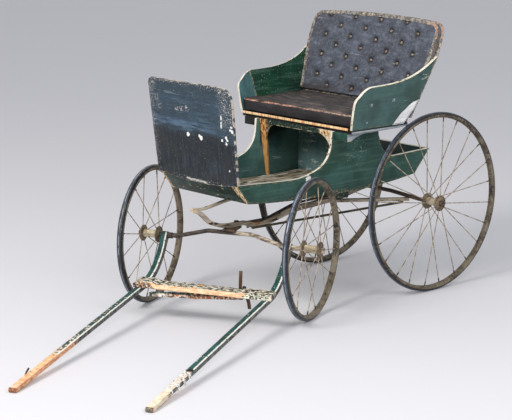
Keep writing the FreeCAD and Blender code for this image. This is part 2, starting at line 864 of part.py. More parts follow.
def shaft_left():
    return steered(one_shaft(shaft_left_eye, shaft_left_tip).cut(on_bar(bar_blank())))


def shaft_right():
    return steered(one_shaft(shaft_right_eye, shaft_right_tip).cut(on_bar(bar_blank())))


def stopped_chamfer():
    """What the draw knife takes off the crossbar's front edge, running out near both ends."""
    y, c = -crossbar_d / 2, crossbar_chamfer

    def section(x):
        return Part.makePolygon([Vec(x, y, 0), Vec(x, y + c, 0), Vec(x, y, -c * 0.85),
                                 Vec(x, y, 0)])

    cut = Part.Face(section(chamfer_start)).extrude(Vec(chamfer_end - chamfer_start, 0, 0))
    for x, way in ((chamfer_start, -1), (chamfer_end, 1)):
        runout = Part.makeLoft([section(x), Part.Vertex(Vec(x + way * 2.5 * c, y, 0))], True, True)
        cut = cut.fuse(runout)
    return cut


def cleat(end_x, inner_x, cleat_t):
    """Low cleat across the crossbar, over a shaft, with both its ends sloped."""
    way = 1 if inner_x < end_x else -1
    face = outline(lambda x, z: Vec(x, -crossbar_d / 2 + 8, z), (end_x, 0), [
        ("line", (end_x - way * cleat_slope, cleat_t)),
        ("line", (inner_x + way * cleat_slope, cleat_t)),
        ("line", (inner_x, 0)),
        ("line", (end_x, 0))])
    return face.extrude(Vec(0, crossbar_d - 8, 0))


def crossbar():
    """Plank across the shafts, with its cleats and with the swingletree's bolt fixed in it."""
    half = crossbar_length / 2
    plank = bar_blank().cut(stopped_chamfer())
    low = crossbar_t + swingle_gap + swingle_t + 1.0

    def pin(r, z0, z1):
        return Part.makeCylinder(r, z1 - z0, Vec(swingle_bolt_x, 0, z0), Vec(0, 0, 1))

    pieces = [pin(bolt_r, -low, 3), pin(bolt_r * 2, 0, 3), pin(bolt_r * 2, -low - 4, -low),
              pin(bolt_r * 1.8, 0.5 - crossbar_t - swingle_gap, -crossbar_t),
              cleat(half - 2, half - 96, left_cleat_t),
              cleat(-half, -half + 80, right_cleat_t)]
    return steered(on_bar(plank.multiFuse(pieces).removeSplitter()))


def crossbar_upright():
    """Bent flat bar on the crossbar's rear edge, its foot leaning out below."""
    path = [(upright_x + upright_lean, upright_top), (upright_x, -4), (upright_bend_x, -31),
            (upright_foot_x, -upright_foot)]
    bar = bent_bar(path, [16, 60], upright_w, -upright_t, 0)
    bar.rotate(Vec(0, 0, 0), Vec(0, 0, 1), -90)
    bar.translate(Vec(0, crossbar_d / 2, 0))
    return steered(on_bar(bar))


def swingletree():
    """Tapered bar that swings on the crossbar's bolt, with a trace hole near each end."""
    top = -crossbar_t - swingle_gap
    h, d = swingle_length / 2, swingle_d / 2
    e = d * 0.6
    face = outline(lambda a, b: Vec(a, b, top), (-h, -e), [
        ("arc", (0, -d), (h, -e)),
        ("arc", (h + e, 0), (h, e)),
        ("arc", (0, d), (-h, e)),
        ("arc", (-h - e, 0), (-h, -e))])
    bar = face.extrude(Vec(0, 0, -swingle_t))
    holes = [Part.makeCylinder(bolt_r + running_gap, 60, Vec(0, 0, top - 40))]
    for side in (1, -1):
        holes.append(Part.makeCylinder(trace_hole_r, 60, Vec(side * (h - 10), 0, top - 40)))
    bar = bar.cut(Part.makeCompound(holes))
    bar.rotate(Vec(0, 0, 0), Vec(0, 0, 1), swingle_turn)
    bar.translate(Vec(swingle_bolt_x, 0, 0))
    return steered(on_bar(bar))


# ---------------------------------------------------------------- writing
def all_parts():
    parts = {f.__name__: f for f in (
        side_panel_left, side_panel_right, bottom_board, front_panel, rear_board, dash_board,
        seat_riser, box_divider, seat_board, seat_bracket_left, seat_bracket_right, arm_panel_left,
        arm_panel_right, back_board, back_cushion, seat_cushion, reach_pole,
        upper_spring_slat, king_bolt, reach_block, rear_hound_left, rear_hound_right,
        reach_rod_left, reach_rod_right, reach_stay, rear_pedestal, rear_axle, front_axle,
        hound_plate, shaft_left, shaft_right,
        crossbar, crossbar_upright, swingletree)}
    shapes = {name: make() for name, make in parts.items()}
    for name, (centre, axis, radius, count) in wheels.items():
        shapes[name + "_tyre"] = placed_on(tyre(radius), centre, axis)
        shapes[name + "_rim"] = placed_on(rim(radius), centre, axis)
        shapes[name + "_spokes"] = placed_on(hub_and_spokes(radius, count), centre, axis)
    return shapes


os.makedirs("parts", exist_ok=True)
for node, shape in all_parts().items():
    shape.exportStep("parts/" + node + ".step")
    print("%-20s solids %d  valid %s  volume %.1f cm3"
          % (node, len(shape.Solids), shape.isValid(), shape.Volume / 1000.0))
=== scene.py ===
"""Dressing of a child's goat-drawn carriage: old paint, tufted leather, wire wheels and ironwork.

Metres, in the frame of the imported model: +Z up, the dash towards -Y, +X the carriage's left.
"""

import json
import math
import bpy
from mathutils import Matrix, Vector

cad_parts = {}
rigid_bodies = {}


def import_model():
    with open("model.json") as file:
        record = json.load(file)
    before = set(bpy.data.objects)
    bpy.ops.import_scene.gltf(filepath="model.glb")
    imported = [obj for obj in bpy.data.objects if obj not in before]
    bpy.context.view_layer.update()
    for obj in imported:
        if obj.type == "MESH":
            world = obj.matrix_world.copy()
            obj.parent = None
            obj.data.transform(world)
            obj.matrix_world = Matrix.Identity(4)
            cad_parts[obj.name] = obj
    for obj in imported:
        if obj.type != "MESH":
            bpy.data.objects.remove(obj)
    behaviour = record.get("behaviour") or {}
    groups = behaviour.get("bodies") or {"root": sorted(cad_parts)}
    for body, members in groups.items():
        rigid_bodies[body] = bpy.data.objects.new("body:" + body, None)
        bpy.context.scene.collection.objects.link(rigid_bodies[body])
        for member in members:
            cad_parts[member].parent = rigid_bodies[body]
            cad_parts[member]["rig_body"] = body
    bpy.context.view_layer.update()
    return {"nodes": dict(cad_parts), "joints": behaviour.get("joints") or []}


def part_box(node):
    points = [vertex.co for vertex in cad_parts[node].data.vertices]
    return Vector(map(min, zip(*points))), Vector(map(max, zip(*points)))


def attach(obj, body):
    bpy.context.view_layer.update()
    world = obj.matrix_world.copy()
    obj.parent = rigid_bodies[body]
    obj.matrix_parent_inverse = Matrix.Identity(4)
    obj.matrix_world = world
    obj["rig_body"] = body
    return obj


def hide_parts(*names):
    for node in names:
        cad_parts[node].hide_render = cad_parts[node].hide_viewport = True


bl_info = {
    "name": "Goat Carriage",
    "version": (1, 0, 0),
    "blender": (4, 5, 0),
    "location": "3D View > Sidebar > Carriage",
    "description": "Dresses the packed carriage in worn paint, leather, iron and bare wood",
    "category": "Object",
}

from functools import cache

import bmesh
import bpy
from bpy.props import FloatProperty, FloatVectorProperty, IntProperty, PointerProperty
from mathutils import Matrix, Vector, noise
from mathutils.bvhtree import BVHTree

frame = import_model()

MM = 0.001
JOINTS = {j["name"]: j for j in frame["joints"]}


# ---------------------------------------------------------------- frames of the parts
def joint_place(name):
    return Vector(JOINTS[name]["pos_m"])


AXLE = Vector(JOINTS["front_left_spin"]["axis"]).normalized()
AHEAD = Vector((AXLE.y, -AXLE.x, 0.0))
FRONT_MID = (joint_place("front_left_spin") + joint_place("front_right_spin")) / 2
FRONT_FRAME = Matrix((
    (AXLE.x, -AHEAD.x, 0, FRONT_MID.x),
    (AXLE.y, -AHEAD.y, 0, FRONT_MID.y),
    (0, 0, 1, 0),
    (0, 0, 0, 1)))
BAR_FRAME = (FRONT_FRAME @ Matrix.Translation((-0.0025, -0.193, 0.119))
             @ Matrix.Rotation(math.radians(1.3), 4, "Z") @ Matrix.Rotation(math.radians(9), 4, "X"))
SWING_FRAME = (BAR_FRAME @ Matrix.Translation((-0.0295, 0, -0.026))
               @ Matrix.Rotation(math.radians(8.5), 4, "Z"))
BACK_LEAN = 0.40
BACK_UP = Vector((0, BACK_LEAN, 1)).normalized()
BACK_OUT = Vector((0, -1, BACK_LEAN)).normalized()
BACK_FOOT = Vector((0, -0.1245, 0.586))
SHAFT_LENGTH = 1.049
SHAFT_WIDTH = 0.0225
LEFT_SHAFT = (0.206, 0.243)
RIGHT_SHAFT = (-0.2335, -0.1815)

WHEELS = {
    # name: (centre, axle direction, radius, spokes)
    "rear_left": (joint_place("rear_left_spin"), Vector((1, 0, 0)), 0.305, 24),
    "rear_right": (joint_place("rear_right_spin"), Vector((-1, 0, 0)), 0.305, 24),
    "front_left": (joint_place("front_left_spin"), AXLE, 0.2286, 16),
    "front_right": (joint_place("front_right_spin"), -AXLE, 0.2286, 16),
}


def tone(r, g, b):
    """A colour as a painter would read it off, turned to the linear one a shader wants."""
    def linear(v):
        v /= 255
        return v / 12.92 if v <= 0.04045 else ((v + 0.055) / 1.055) ** 2.4
    return (linear(r), linear(g), linear(b), 1.0)


# ---------------------------------------------------------------- settings
def colour(name, description, r, g, b):
    return FloatVectorProperty(name=name, description=description, subtype="COLOR", size=4,
                               min=0, max=1, default=tone(r, g, b))


class CarriagePaint(bpy.types.PropertyGroup):
    teal: colour("Teal", "Body paint where it is least faded", 54, 88, 80)
    deep_green: colour("Deep green", "Body paint in its darker patches", 38, 68, 58)
    # Inner green is painted light: lighter than the real paint, standing in for the fill light that the
    # inside of the body lacks.
    inner_green: colour("Inner green", "Paint inside the seat and the foot well", 84, 118, 114)
    cream: colour("Cream", "Striping on the edges of the boards", 214, 203, 178)
    slate: colour("Slate", "Upper half of the dash", 62, 80, 94)
    soot: colour("Soot", "Lower half of the dash", 30, 36, 42)
    back_hide: colour("Back leather", "Tufted leather of the back", 74, 80, 92)
    seat_hide: colour("Seat leather", "Leather of the seat cushion", 60, 55, 54)
    pine: colour("Bare wood", "Wood where the paint is gone", 226, 178, 132)
    driftwood: colour("Weathered wood", "Wood of the reach and its slats", 176, 162, 144)
    rust: colour("Rust", "Rusted iron", 96, 76, 60)
    # The left tyres' tread is painted lighter than the right tyres', as lit and shaded copies of one rubber:
    # painted light.
    tyre: colour("Tyre", "Tread of the left tyres", 72, 81, 95)
    rim: colour("Rim", "Inner side of the rims", 124, 114, 97)
    wire: colour("Wire", "Wire of the spokes", 186, 172, 154)
    shaft: colour("Shaft", "Top of the shafts", 44, 92, 90)
    floor: colour("Floor", "Floor of the studio", 224, 222, 225)


class CarriageSizes(bpy.types.PropertyGroup):
    edge_round: FloatProperty(name="Edge rounding", description="Rounding of the boards' edges",
                              default=1.4 * MM, min=0, unit="LENGTH")
    button: FloatProperty(name="Button", description="Radius of a tufting button",
                          default=5.4 * MM, min=0, unit="LENGTH")
    binding: FloatProperty(name="Binding", description="Width of the strip round the back",
                           default=12 * MM, min=0.002, unit="LENGTH")
    tuft_across: FloatProperty(name="Tuft width", description="Half the spacing of buttons in a row",
                               default=61 * MM, min=0.02, unit="LENGTH")
    tuft_up: FloatProperty(name="Tuft height", description="Distance between rows of buttons",
                           default=36 * MM, min=0.01, unit="LENGTH")
    tuft_depth: FloatProperty(name="Tuft depth", description="How deep a button sits",
                              default=8 * MM, min=0, unit="LENGTH")
    spoke: FloatProperty(name="Spoke", description="Radius of a wire spoke",
                         default=1.6 * MM, min=0, unit="LENGTH")
    wheel_steps: IntProperty(name="Wheel steps", description="Facets round a wheel",
                             default=112, min=24)


# ---------------------------------------------------------------- finishes
class Finish:
    """One surface finish, mixed from noise and from place on the piece; base is its colour so far.

    Every noise takes the next seed, so the order of the calls decides how a finish looks."""

    def __init__(self, name, **fixed):
        self.material = bpy.data.materials.new(name)
        self.material.use_nodes = True
        self.tree = self.material.node_tree
        self.shader = self.tree.nodes["Principled BSDF"]
        self.shader.inputs["Specular IOR Level"].default_value = 0.22
        for socket, value in fixed.items():
            self.shader.inputs[socket.replace("_", " ")].default_value = value
        self.place = self.tree.nodes.new("ShaderNodeTexCoord").outputs["Object"]
        self.seed = 0.0
        self.base, self.rough, self.relief = None, 0.6, None

    def set(self, socket, value):
        if isinstance(value, bpy.types.NodeSocket):
            self.tree.links.new(value, socket)
        else:
            socket.default_value = value

    def add(self, kind, inputs, out=0, **settings):
        node = self.tree.nodes.new(kind)
        for key, value in settings.items():
            setattr(node, key, value)
        for key, value in inputs.items():
            self.set(node.inputs[key], value)
        return node.outputs[out]

    def do(self, operation, a, b=0.0):
        return self.add("ShaderNodeMath", {0: a, 1: b}, operation=operation)

    def plus(self, a, b):
        return self.do("ADD", a, b)

    def minus(self, a, b):
        return self.do("SUBTRACT", a, b)

    def both(self, a, b):
        return self.do("MULTIPLY", a, b)

    def either(self, a, b):
        return self.do("MAXIMUM", a, b)

    def attribute(self, name):
        return self.add("ShaderNodeAttribute", {}, out="Fac", attribute_name=name)

    # ---- numbers over the surface
    def noise(self, size, stretch=(1, 1, 1), detail=5.0, rough=0.55):
        """Soft random value about 0.5, with patches of this size."""
        self.seed += 3.7
        where = self.add("ShaderNodeMapping", {"Vector": self.place, "Scale": stretch,
                                               "Location": (self.seed, self.seed / 3, 0.0)})
        return self.add("ShaderNodeTexNoise", {"Vector": where, "Scale": 1 / size, "Detail": detail,
                                               "Roughness": rough, "Distortion": 0.0})

    def slanted(self, size, degrees, stretch):
        """Noise drawn out along a slanting line."""
        where = self.add("ShaderNodeMapping", {"Vector": self.place, "Scale": stretch,
                                               "Rotation": (0.0, math.radians(degrees), 0.0)})
        return self.add("ShaderNodeTexNoise", {"Vector": where, "Scale": 1 / size, "Detail": 4.0})

    def stray(self, amount, size, *stretch, **noise):
        """Noise about 0, at most half this amount to either side."""
        return self.both(self.minus(self.noise(size, *stretch, **noise), 0.5), amount)

    def strayed(self, value, amount, size, *stretch, **noise):
        """A value with a ragged course."""
        return self.plus(value, self.stray(amount, size, *stretch, **noise))

    def step(self, value, low, high):
        """0 below low and 1 above high, or the other way round."""
        return self.add("ShaderNodeMapRange", {"Value": value, "From Min": low, "From Max": high},
                        interpolation_type="SMOOTHSTEP")

    def patches(self, size, low, high, *stretch, **noise):
        """Noise cut to patches between two levels."""
        return self.step(self.noise(size, *stretch, **noise), low, high)

    def about(self, value, outer, inner):
        """1 where a value is within inner of 0, and 0 beyond outer."""
        return self.step(self.do("ABSOLUTE", value), outer, inner)

    def along(self, direction, start):
        """Distance along a direction from a start point."""
        direction, start = Vector(direction), Vector(start)
        reach = self.add("ShaderNodeVectorMath", {0: self.place, 1: tuple(direction)},
                         out="Value", operation="DOT_PRODUCT")
        return self.minus(reach, direction.dot(start))

    def x(self, start=0.0):
        return self.along((1, 0, 0), (start, 0, 0))

    def y(self, start):
        return self.along((0, 1, 0), (0, start, 0))

    def z(self, start):
        return self.along((0, 0, 1), (0, 0, start))

    def within(self, place, axis):
        """Distance along an axis of a frame from the frame's origin."""
        return self.along(place.to_3x3().col[axis], place.translation)

    def near(self, point, radius, ragged=0.0, size=0.02, soft=0.14, flat=None):
        """1 inside a ragged spot about a point, or about the line through it that flat leaves out."""
        where = self.place
        if flat:
            where = self.add("ShaderNodeVectorMath", {0: where, 1: flat}, operation="MULTIPLY")
            point = Vector(point) * Vector(flat)
        gap = self.add("ShaderNodeVectorMath", {0: where, 1: tuple(point)},
                       out="Value", operation="DISTANCE")
        gap = self.plus(gap, self.both(self.noise(size, detail=3), ragged))
        radius += ragged / 2
        return self.step(gap, radius, radius * (1 - soft))

    def flecks(self, size, level, stretch=(1, 1, 1), more=None):
        """Sharp-edged chips where the noise, and any extra, rises past a level."""
        value = self.noise(size, stretch, detail=4.0, rough=0.6)
        if more is not None:
            value = self.plus(value, more)
        return self.step(value, level, level + 0.03)

    # ---- colours
    def hue(self, colour):
        """A colour given as (r, g, b), as the name of a paint setting or as a node's output."""
        if isinstance(colour, str):
            return getattr(bpy.context.scene.carriage_paint, colour)
        return tone(*colour) if isinstance(colour, tuple) else colour

    def mix(self, amount, a, b):
        return self.add("ShaderNodeMix", {0: amount, 6: self.hue(a), 7: self.hue(b)}, out=2,
                        data_type="RGBA")

    def two(self, light, deep, size, low=None, high=None, *stretch, **noise):
        """Two tones in patches, or in a soft blend where no levels are given."""
        amount = self.noise(size, *stretch, **noise)
        return self.mix(amount if low is None else self.step(amount, low, high), light, deep)

    def chipped(self, ground, size, level, colour, *stretch):
        """A ground flecked with a second colour."""
        return self.mix(self.flecks(size, level, *stretch), ground, colour)

    def lay(self, amount, colour, share=None):
        """Lays a colour over the base where amount says, or only a share of it."""
        amount = amount if share is None else self.both(amount, share)
        self.base = self.mix(amount, self.base, colour)

    def chip(self, size, level, colour, *stretch, share=None, more=None):
        """Flecks the base with a colour."""
        self.lay(self.flecks(size, level, *stretch, more=more), colour, share)

    def finish(self, rough=None, relief=None, depth=0.0005):
        self.set(self.shader.inputs["Base Color"], self.base)
        self.set(self.shader.inputs["Roughness"], self.rough if rough is None else rough)
        relief = relief or self.relief
        if relief:
            bump = self.add("ShaderNodeBump", {"Strength": 1.0, "Distance": depth, "Height": relief})
            self.set(self.shader.inputs["Normal"], bump)
        return self.material


# ---------------------------------------------------------------- paint on the boards
def old_green(name, light, deep, stretch, chips=0.735):
    """Hand-brushed green paint, mottled, streaked and flecked with cream chips."""
    f = Finish(name)
    patches = f.patches(0.13, 0.42, 0.60, detail=4.0)
    streaks = f.patches(0.011, 0.48, 0.66, stretch, detail=6.0)
    faint = f.noise(0.04, stretch, detail=8.0, rough=0.7)
    mottle = f.noise(0.012, detail=6.0, rough=0.7)
    f.base = f.mix(patches, light, deep)
    f.lay(f.step(mottle, 0.50, 0.66), deep, 0.5)
    f.lay(streaks, (84, 116, 104), 0.34)
    f.lay(f.step(faint, 0.52, 0.72), (24, 42, 34), 0.6)
    worn = f.both(f.patches(0.10, 0.45, 0.66, detail=2.0), 0.035)
    chip = f.flecks(0.005, chips, tuple(0.5 + 0.5 * s for s in stretch), more=worn)
    scuff = f.both(f.flecks(0.02, 0.70, stretch), f.patches(0.003, 0.45, 0.6))
    gone = f.either(chip, scuff)
    f.lay(gone, (192, 184, 160))
    f.relief = f.minus(f.both(streaks, 0.35), gone)
    f.rough = f.plus(f.both(f.noise(0.04), 0.35), 0.26)
    return f


@cache
def body_green():
    """Outer paint: grimy and chipped along its lower edge, with two chips and a scuffed patch."""
    f = old_green("body_green", "teal", "deep_green", (1, 0.06, 1))
    height = f.z(0.372)
    f.lay(f.step(height, 0.055, 0.0), (32, 46, 40), 0.4)
    low = f.flecks(0.006, 0.60, (1, 0.5, 1), more=f.both(f.step(height, 0.010, -0.002), 0.06))
    f.lay(low, (150, 128, 98), f.step(height, 0.016, 0.004))
    for y, z, r in ((-0.502, 0.436, 0.012), (-0.490, 0.424, 0.005)):
        f.lay(f.near((0.19, y, z), r, ragged=0.008, size=0.008), (232, 230, 220))
    marks = f.near((0.19, -0.290, 0.500), 0.075, ragged=0.03, size=0.03, soft=0.5)
    f.lay(f.both(marks, f.flecks(0.0055, 0.605, (1, 0.6, 1))), (160, 176, 164), 0.55)
    return f.finish()


@cache
def inner_green():
    """Inner paint on greens painted lighter to stand in for fill light, rubbed low down, with painted shade
    under the seat and in the rear box.
    """
    f = old_green("inner_green", "inner_green", (56, 88, 84), (1, 0.05, 1), chips=0.70)
    rub = f.both(f.flecks(0.012, 0.63, (1, 0.10, 1.0)), f.step(f.z(0.52), 0.0, -0.03))
    f.lay(rub, (186, 190, 184), 0.55)
    # Painted shade under the seat: dark above a slanting line, between the riser and the divider.
    riser, divider = -0.384, -0.200
    under = f.step(f.along((0, -0.43, 1), (0, -0.385, 0.462)), 0.0, 0.035)
    under = f.both(under, f.both(f.step(f.y(riser), 0.0, 0.004), f.step(f.y(divider), 0.004, 0.0)))
    f.lay(under, (22, 28, 26), 0.85)
    # Painted shade in the rear box, behind the divider.
    f.lay(f.step(f.y(divider), 0.002, 0.006), (24, 32, 30), 0.75)
    return f.finish()


def worn_arm(f):
    """The left arm's outer face: a large bare patch, a few rubbed spots and a streak."""
    middle, edge = (0.266, -0.042, 0.490), {"ragged": 0.010, "size": 0.04, "soft": 0.012}
    patch = f.near(middle, 0.184, **edge)
    bare = f.two((250, 249, 247), (226, 226, 226), 0.02, 0.4, 0.6, (1, 0.3, 1))
    bare = f.mix(f.both(f.flecks(0.006, 0.64), 0.8), bare, (96, 98, 96))
    f.lay(patch, bare)
    rim = f.both(f.near(middle, 0.188, **edge), f.minus(1.0, patch))
    f.lay(rim, (44, 58, 52), 0.7)
    for y, z, r in ((-0.312, 0.664, 5.5), (-0.212, 0.672, 6.0), (-0.320, 0.607, 3.5),
                    (-0.176, 0.588, 5.0), (-0.196, 0.590, 3.0)):
        x = 0.266 + 0.2 * (z - 0.586)  # the arm flares out as it rises
        spot = f.near((x, y, z), r * MM, ragged=0.006, size=0.007)
        if r > 5.2:
            hole = f.near((x, y - 0.001, z - 0.001), r * 0.55 * MM, ragged=0.004, size=0.007)
            spot = f.both(spot, f.minus(1.0, f.both(hole, 0.8)))
        f.lay(spot, (176, 186, 180), 0.75)
    streak = f.both(f.near((0.296, -0.082, 0.736), 0.020, 0.012), f.flecks(0.010, 0.56, (1, 0.4, 1.6)))
    f.lay(streak, (186, 188, 172), 0.7)


def arm_green(side):
    """Paint of one arm: its outer face, and its inner one, paler past a ragged line."""
    hand = "left" if side > 0 else "right"
    outer = old_green("arm_outer_" + hand, (70, 99, 97), (56, 80, 76), (1, 0.07, 1), chips=0.76)
    if side > 0:
        worn_arm(outer)
    f = old_green("arm_inner_" + hand, (20, 64, 44), (14, 46, 34), (1, 0.10, 1), chips=0.72)
    f.chip(0.005, 0.635, (120, 150, 124), (1, 1, 0.6), share=0.8)
    line = f.strayed(f.along((0, 1, 0.16), (0, -0.330, 0.680)), 0.02, 0.03)
    pale = f.two((74, 110, 112), (50, 80, 84), 0.05, 0.4, 0.65, (1, 1, 0.4))
    f.lay(f.step(line, 0.002, -0.002), pale)
    f.lay(f.both(f.about(line, 0.0045, 0.002), f.patches(0.010, 0.44, 0.54)), (146, 134, 108), 0.8)
    return outer.finish(), f.finish()


@cache
def cream_edge():
    """Cream line painted on the boards' edges, knocked through to wood and to dark primer."""
    f = Finish("cream_edge")
    f.base = f.two((238, 232, 216), "cream", 0.03, 0.35, 0.7)
    gone = f.flecks(0.009, 0.60, (1, 0.6, 0.6))
    f.lay(gone, f.two((160, 122, 82), (52, 56, 48), 0.006, 0.42, 0.58))
    return f.finish(0.6, f.minus(1.0, gone), 0.0004)


@cache
def pinstripe():
    """The margin beside an edge, where a fine line has mostly worn off."""
    f = Finish("pinstripe")
    kept = f.patches(0.018, 0.47, 0.56, detail=6.0, rough=0.7)
    f.base = f.mix(kept, (50, 68, 58), f.two((146, 138, 102), (108, 100, 70), 0.01))
    return f.finish(0.5, kept, 0.0002)


def bare_streaks(f):
    """Bare and dirty wood, split along a steep grain, and that grain."""
    grain = f.noise(0.0045, (1, 0.5, 0.16), detail=6.0)
    bare = f.mix(f.step(grain, 0.42, 0.60), (228, 206, 162), (150, 108, 66))
    return f.chipped(bare, 0.009, 0.60, (40, 50, 40), (1, 0.6, 0.3)), grain


@cache
def corner_edge():
    """Front edge of the side board, knocked down to the wood."""
    f = Finish("corner_edge")
    f.base, grain = bare_streaks(f)
    return f.finish(0.65, grain, 0.0006)


@cache
def front_green():
    """Front board: green, bare at its left end and chipped along its lower edge."""
    f = old_green("front_green", (30, 54, 46), (18, 36, 31), (0.06, 1, 1), chips=0.76)
    bare = bare_streaks(f)[0]
    slant = f.along((1, 0, 0.45), (0.160, 0, 0.437))
    slant = f.strayed(slant, 0.045, 0.012, (1, 1, 0.4), detail=6.0, rough=0.7)
    f.lay(f.step(slant, -0.001, 0.002), bare)
    low = f.both(f.step(f.z(0.383), 0.012, -0.004), 0.09)
    f.chip(0.008, 0.63, (184, 172, 138), (0.45, 1, 1), more=low)
    return f.finish()


def dash_paint(name, marked):
    """Slate above a brighter band, darker and drier below, chipped along its rim."""
    f = Finish(name)
    x, z = f.x(), f.z(0.449)
    wavy = f.strayed(z, 0.06, 0.07, (1, 1, 2), detail=6.0)
    upper = f.step(wavy, 0.132, 0.162)
    level = f.noise(0.010, (0.10, 1, 1), detail=8.0, rough=0.72)
    plumb = f.noise(0.012, (1, 1, 0.08), detail=8.0, rough=0.72)
    cloudy = f.noise(0.05, detail=6.0, rough=0.65)
    grit = f.noise(0.004, detail=4.0, rough=0.7)
    f.base = f.mix(f.step(level, 0.40, 0.64), (44, 58, 70), "slate")
    f.lay(f.step(cloudy, 0.42, 0.62), (50, 68, 80))
    f.lay(f.step(z, 0.245, 0.300), (50, 58, 62), 0.5)
    band = f.both(f.about(f.minus(wavy, 0.170), 0.024, 0.006), f.step(level, 0.42, 0.58))
    f.lay(band, (84, 108, 130), f.both(f.step(x, 0.17, 0.02), 0.8))
    f.chip(0.010, 0.64, (110, 124, 134), (0.14, 1, 1), share=0.5)
    slate = f.base
    f.base = f.mix(f.both(f.step(plumb, 0.42, 0.62), 0.40), "soot", (50, 58, 66))
    f.lay(f.step(cloudy, 0.44, 0.60), (40, 43, 43), 0.75)
    f.lay(f.both(f.step(z, 0.110, 0.050), f.step(plumb, 0.46, 0.62)), (68, 80, 94), 0.32)
    f.base = f.mix(upper, f.base, slate)
    f.lay(f.step(grit, 0.58, 0.68), (128, 134, 138), 0.35)
    rim = f.either(f.both(f.step(x, 0.176, 0.200), 0.55), f.step(x, -0.165, -0.196))
    rim = f.either(rim, f.either(f.step(z, 0.288, 0.306), f.both(f.step(z, 0.010, -0.004), 0.6)))
    rim = f.both(rim, 0.11)
    wear = f.either(f.flecks(0.0030, 0.67, more=rim), f.flecks(0.0065, 0.73, more=rim))
    corner = f.both(f.step(z, 0.155, 0.20), f.step(x, 0.120, 0.172))
    wear = f.either(wear, f.both(corner, f.flecks(0.0034, 0.575)))
    chips = f.two((226, 224, 220), (168, 152, 140), 0.004, 0.44, 0.60)
    f.lay(wear, chips)
    f.rough = f.plus(f.both(level, 0.3), 0.32)
    f.relief = f.minus(f.both(f.mix(upper, plumb, level), 0.4), wear)
    if marked:
        dash_marks(f, x, chips)
    return f.finish()


def dash_marks(f, x, chips):
    """Dribbles of chips, pale spots, a scratch and a scuff on the front of the dash."""
    flat = (1, 0, 1)
    for a, b, r in ((0.143, 0.752, 8), (0.151, 0.742, 8), (0.167, 0.731, 6), (0.174, 0.715, 6.5),
                    (0.167, 0.694, 7), (0.174, 0.683, 6), (0.190, 0.676, 4.5), (-0.167, 0.691, 12),
                    (-0.156, 0.668, 9), (-0.182, 0.735, 12), (-0.069, 0.666, 8), (-0.045, 0.669, 8),
                    (-0.018, 0.672, 8)):
        stretch = (0.35, 1, 1) if -0.1 < a < 0 else (1, 1, 0.7)
        patch = f.near((a, 0, b), (r + 7) * MM, ragged=0.020, size=0.010, flat=flat, soft=0.5)
        f.lay(f.both(patch, f.flecks(0.0030, 0.555, stretch)), chips, 0.9)
    for a, b, r in ((-0.023, 0.588, 7.5), (0.034, 0.589, 6.0), (0.041, 0.583, 7.5), (0.192, 0.634, 5.0),
                    (0.195, 0.622, 6.5), (0.187, 0.626, 4.5), (0.143, 0.589, 5.0), (0.164, 0.599, 5.5),
                    (0.168, 0.592, 5.0), (0.162, 0.580, 5.5), (0.166, 0.494, 3.4), (0.119, 0.441, 3.2)):
        f.lay(f.near((a, 0, b), r * MM, ragged=0.011, size=0.006, flat=flat), (240, 240, 236))
    scratch = f.both(f.about(f.along((1, 0, -0.10), (0.1465, 0, 0.648)), 0.0042, 0.0028),
                     f.about(f.z(0.648), 0.024, 0.016))
    f.lay(scratch, (214, 216, 216), f.patches(0.012, 0.36, 0.44))
    line = f.strayed(f.along((0.02, 0, 1), (-0.048, 0, 0.4415)), 0.012, 0.02, (1, 1, 2))
    reach = f.both(f.step(x, -0.056, -0.048), f.step(x, 0.060, 0.040))
    scuff = f.both(f.both(f.about(line, 0.0045, 0.002), reach), f.patches(0.010, 0.38, 0.46))
    f.lay(scuff, (206, 200, 192), 0.9)


@cache
def dash_edge():
    f = Finish("dash_edge")
    gone = f.flecks(0.010, 0.51, (1, 0.5, 0.5))
    f.base = f.mix(gone, f.two((214, 208, 196), (150, 130, 112), 0.02), (64, 70, 76))
    return f.finish(0.6, f.minus(1.0, gone), 0.0004)


@cache
def riser_paint():
    """Green over the arch, cream over the left leg and bare wood on the right one, with painted shade in dark
    flecks at that leg's top.
    """
    f = Finish("riser_paint")
    x, z = f.x(), f.z(0.553)
    grain = f.noise(0.005, (1, 1, 0.07), detail=6.0)
    bare = f.mix(f.step(grain, 0.42, 0.62), (240, 184, 118), (190, 128, 68))
    # Painted shade under the seat: dark flecks that close up towards the top of the bare leg.
    high = f.both(f.step(z, -0.075, -0.02), f.flecks(0.0055, 0.50, (1, 1, 0.35)))
    spots = f.either(f.both(high, 0.95), f.flecks(0.007, 0.66, (1, 1, 0.45)))
    bare = f.mix(spots, bare, (70, 44, 26))
    pale = f.two((250, 234, 200), (206, 160, 108), 0.008, 0.42, 0.62, (1, 1, 0.3))
    pale = f.chipped(pale, 0.008, 0.585, (38, 46, 38), (1, 1, 0.6))
    legs = f.mix(f.step(x, -0.02, 0.02), bare, pale)
    green = f.chipped(f.two((34, 62, 50), (20, 38, 32), 0.03), 0.0055, 0.60, (196, 192, 168))
    ragged = f.stray(0.06, 0.010, detail=6.0, rough=0.7)
    side = f.plus(x, ragged)
    arch = f.both(f.step(side, 0.122, 0.108), f.step(side, -0.150, -0.138))
    arch = f.both(f.step(f.plus(z, ragged), 0.000, 0.003), arch)
    inner = f.both(f.step(side, 0.116, 0.106), f.step(side, -0.146, -0.136))
    f.base = f.mix(f.either(arch, inner), legs, green)
    rise = f.plus(f.plus(z, -0.0075), f.both(ragged, 0.1))
    kept = f.both(f.about(x, 0.115, 0.095), f.patches(0.02, 0.46, 0.54))
    f.lay(f.both(f.about(rise, 0.003, 0.0015), kept), (200, 190, 160))
    return f.finish(0.62, grain, 0.0004)


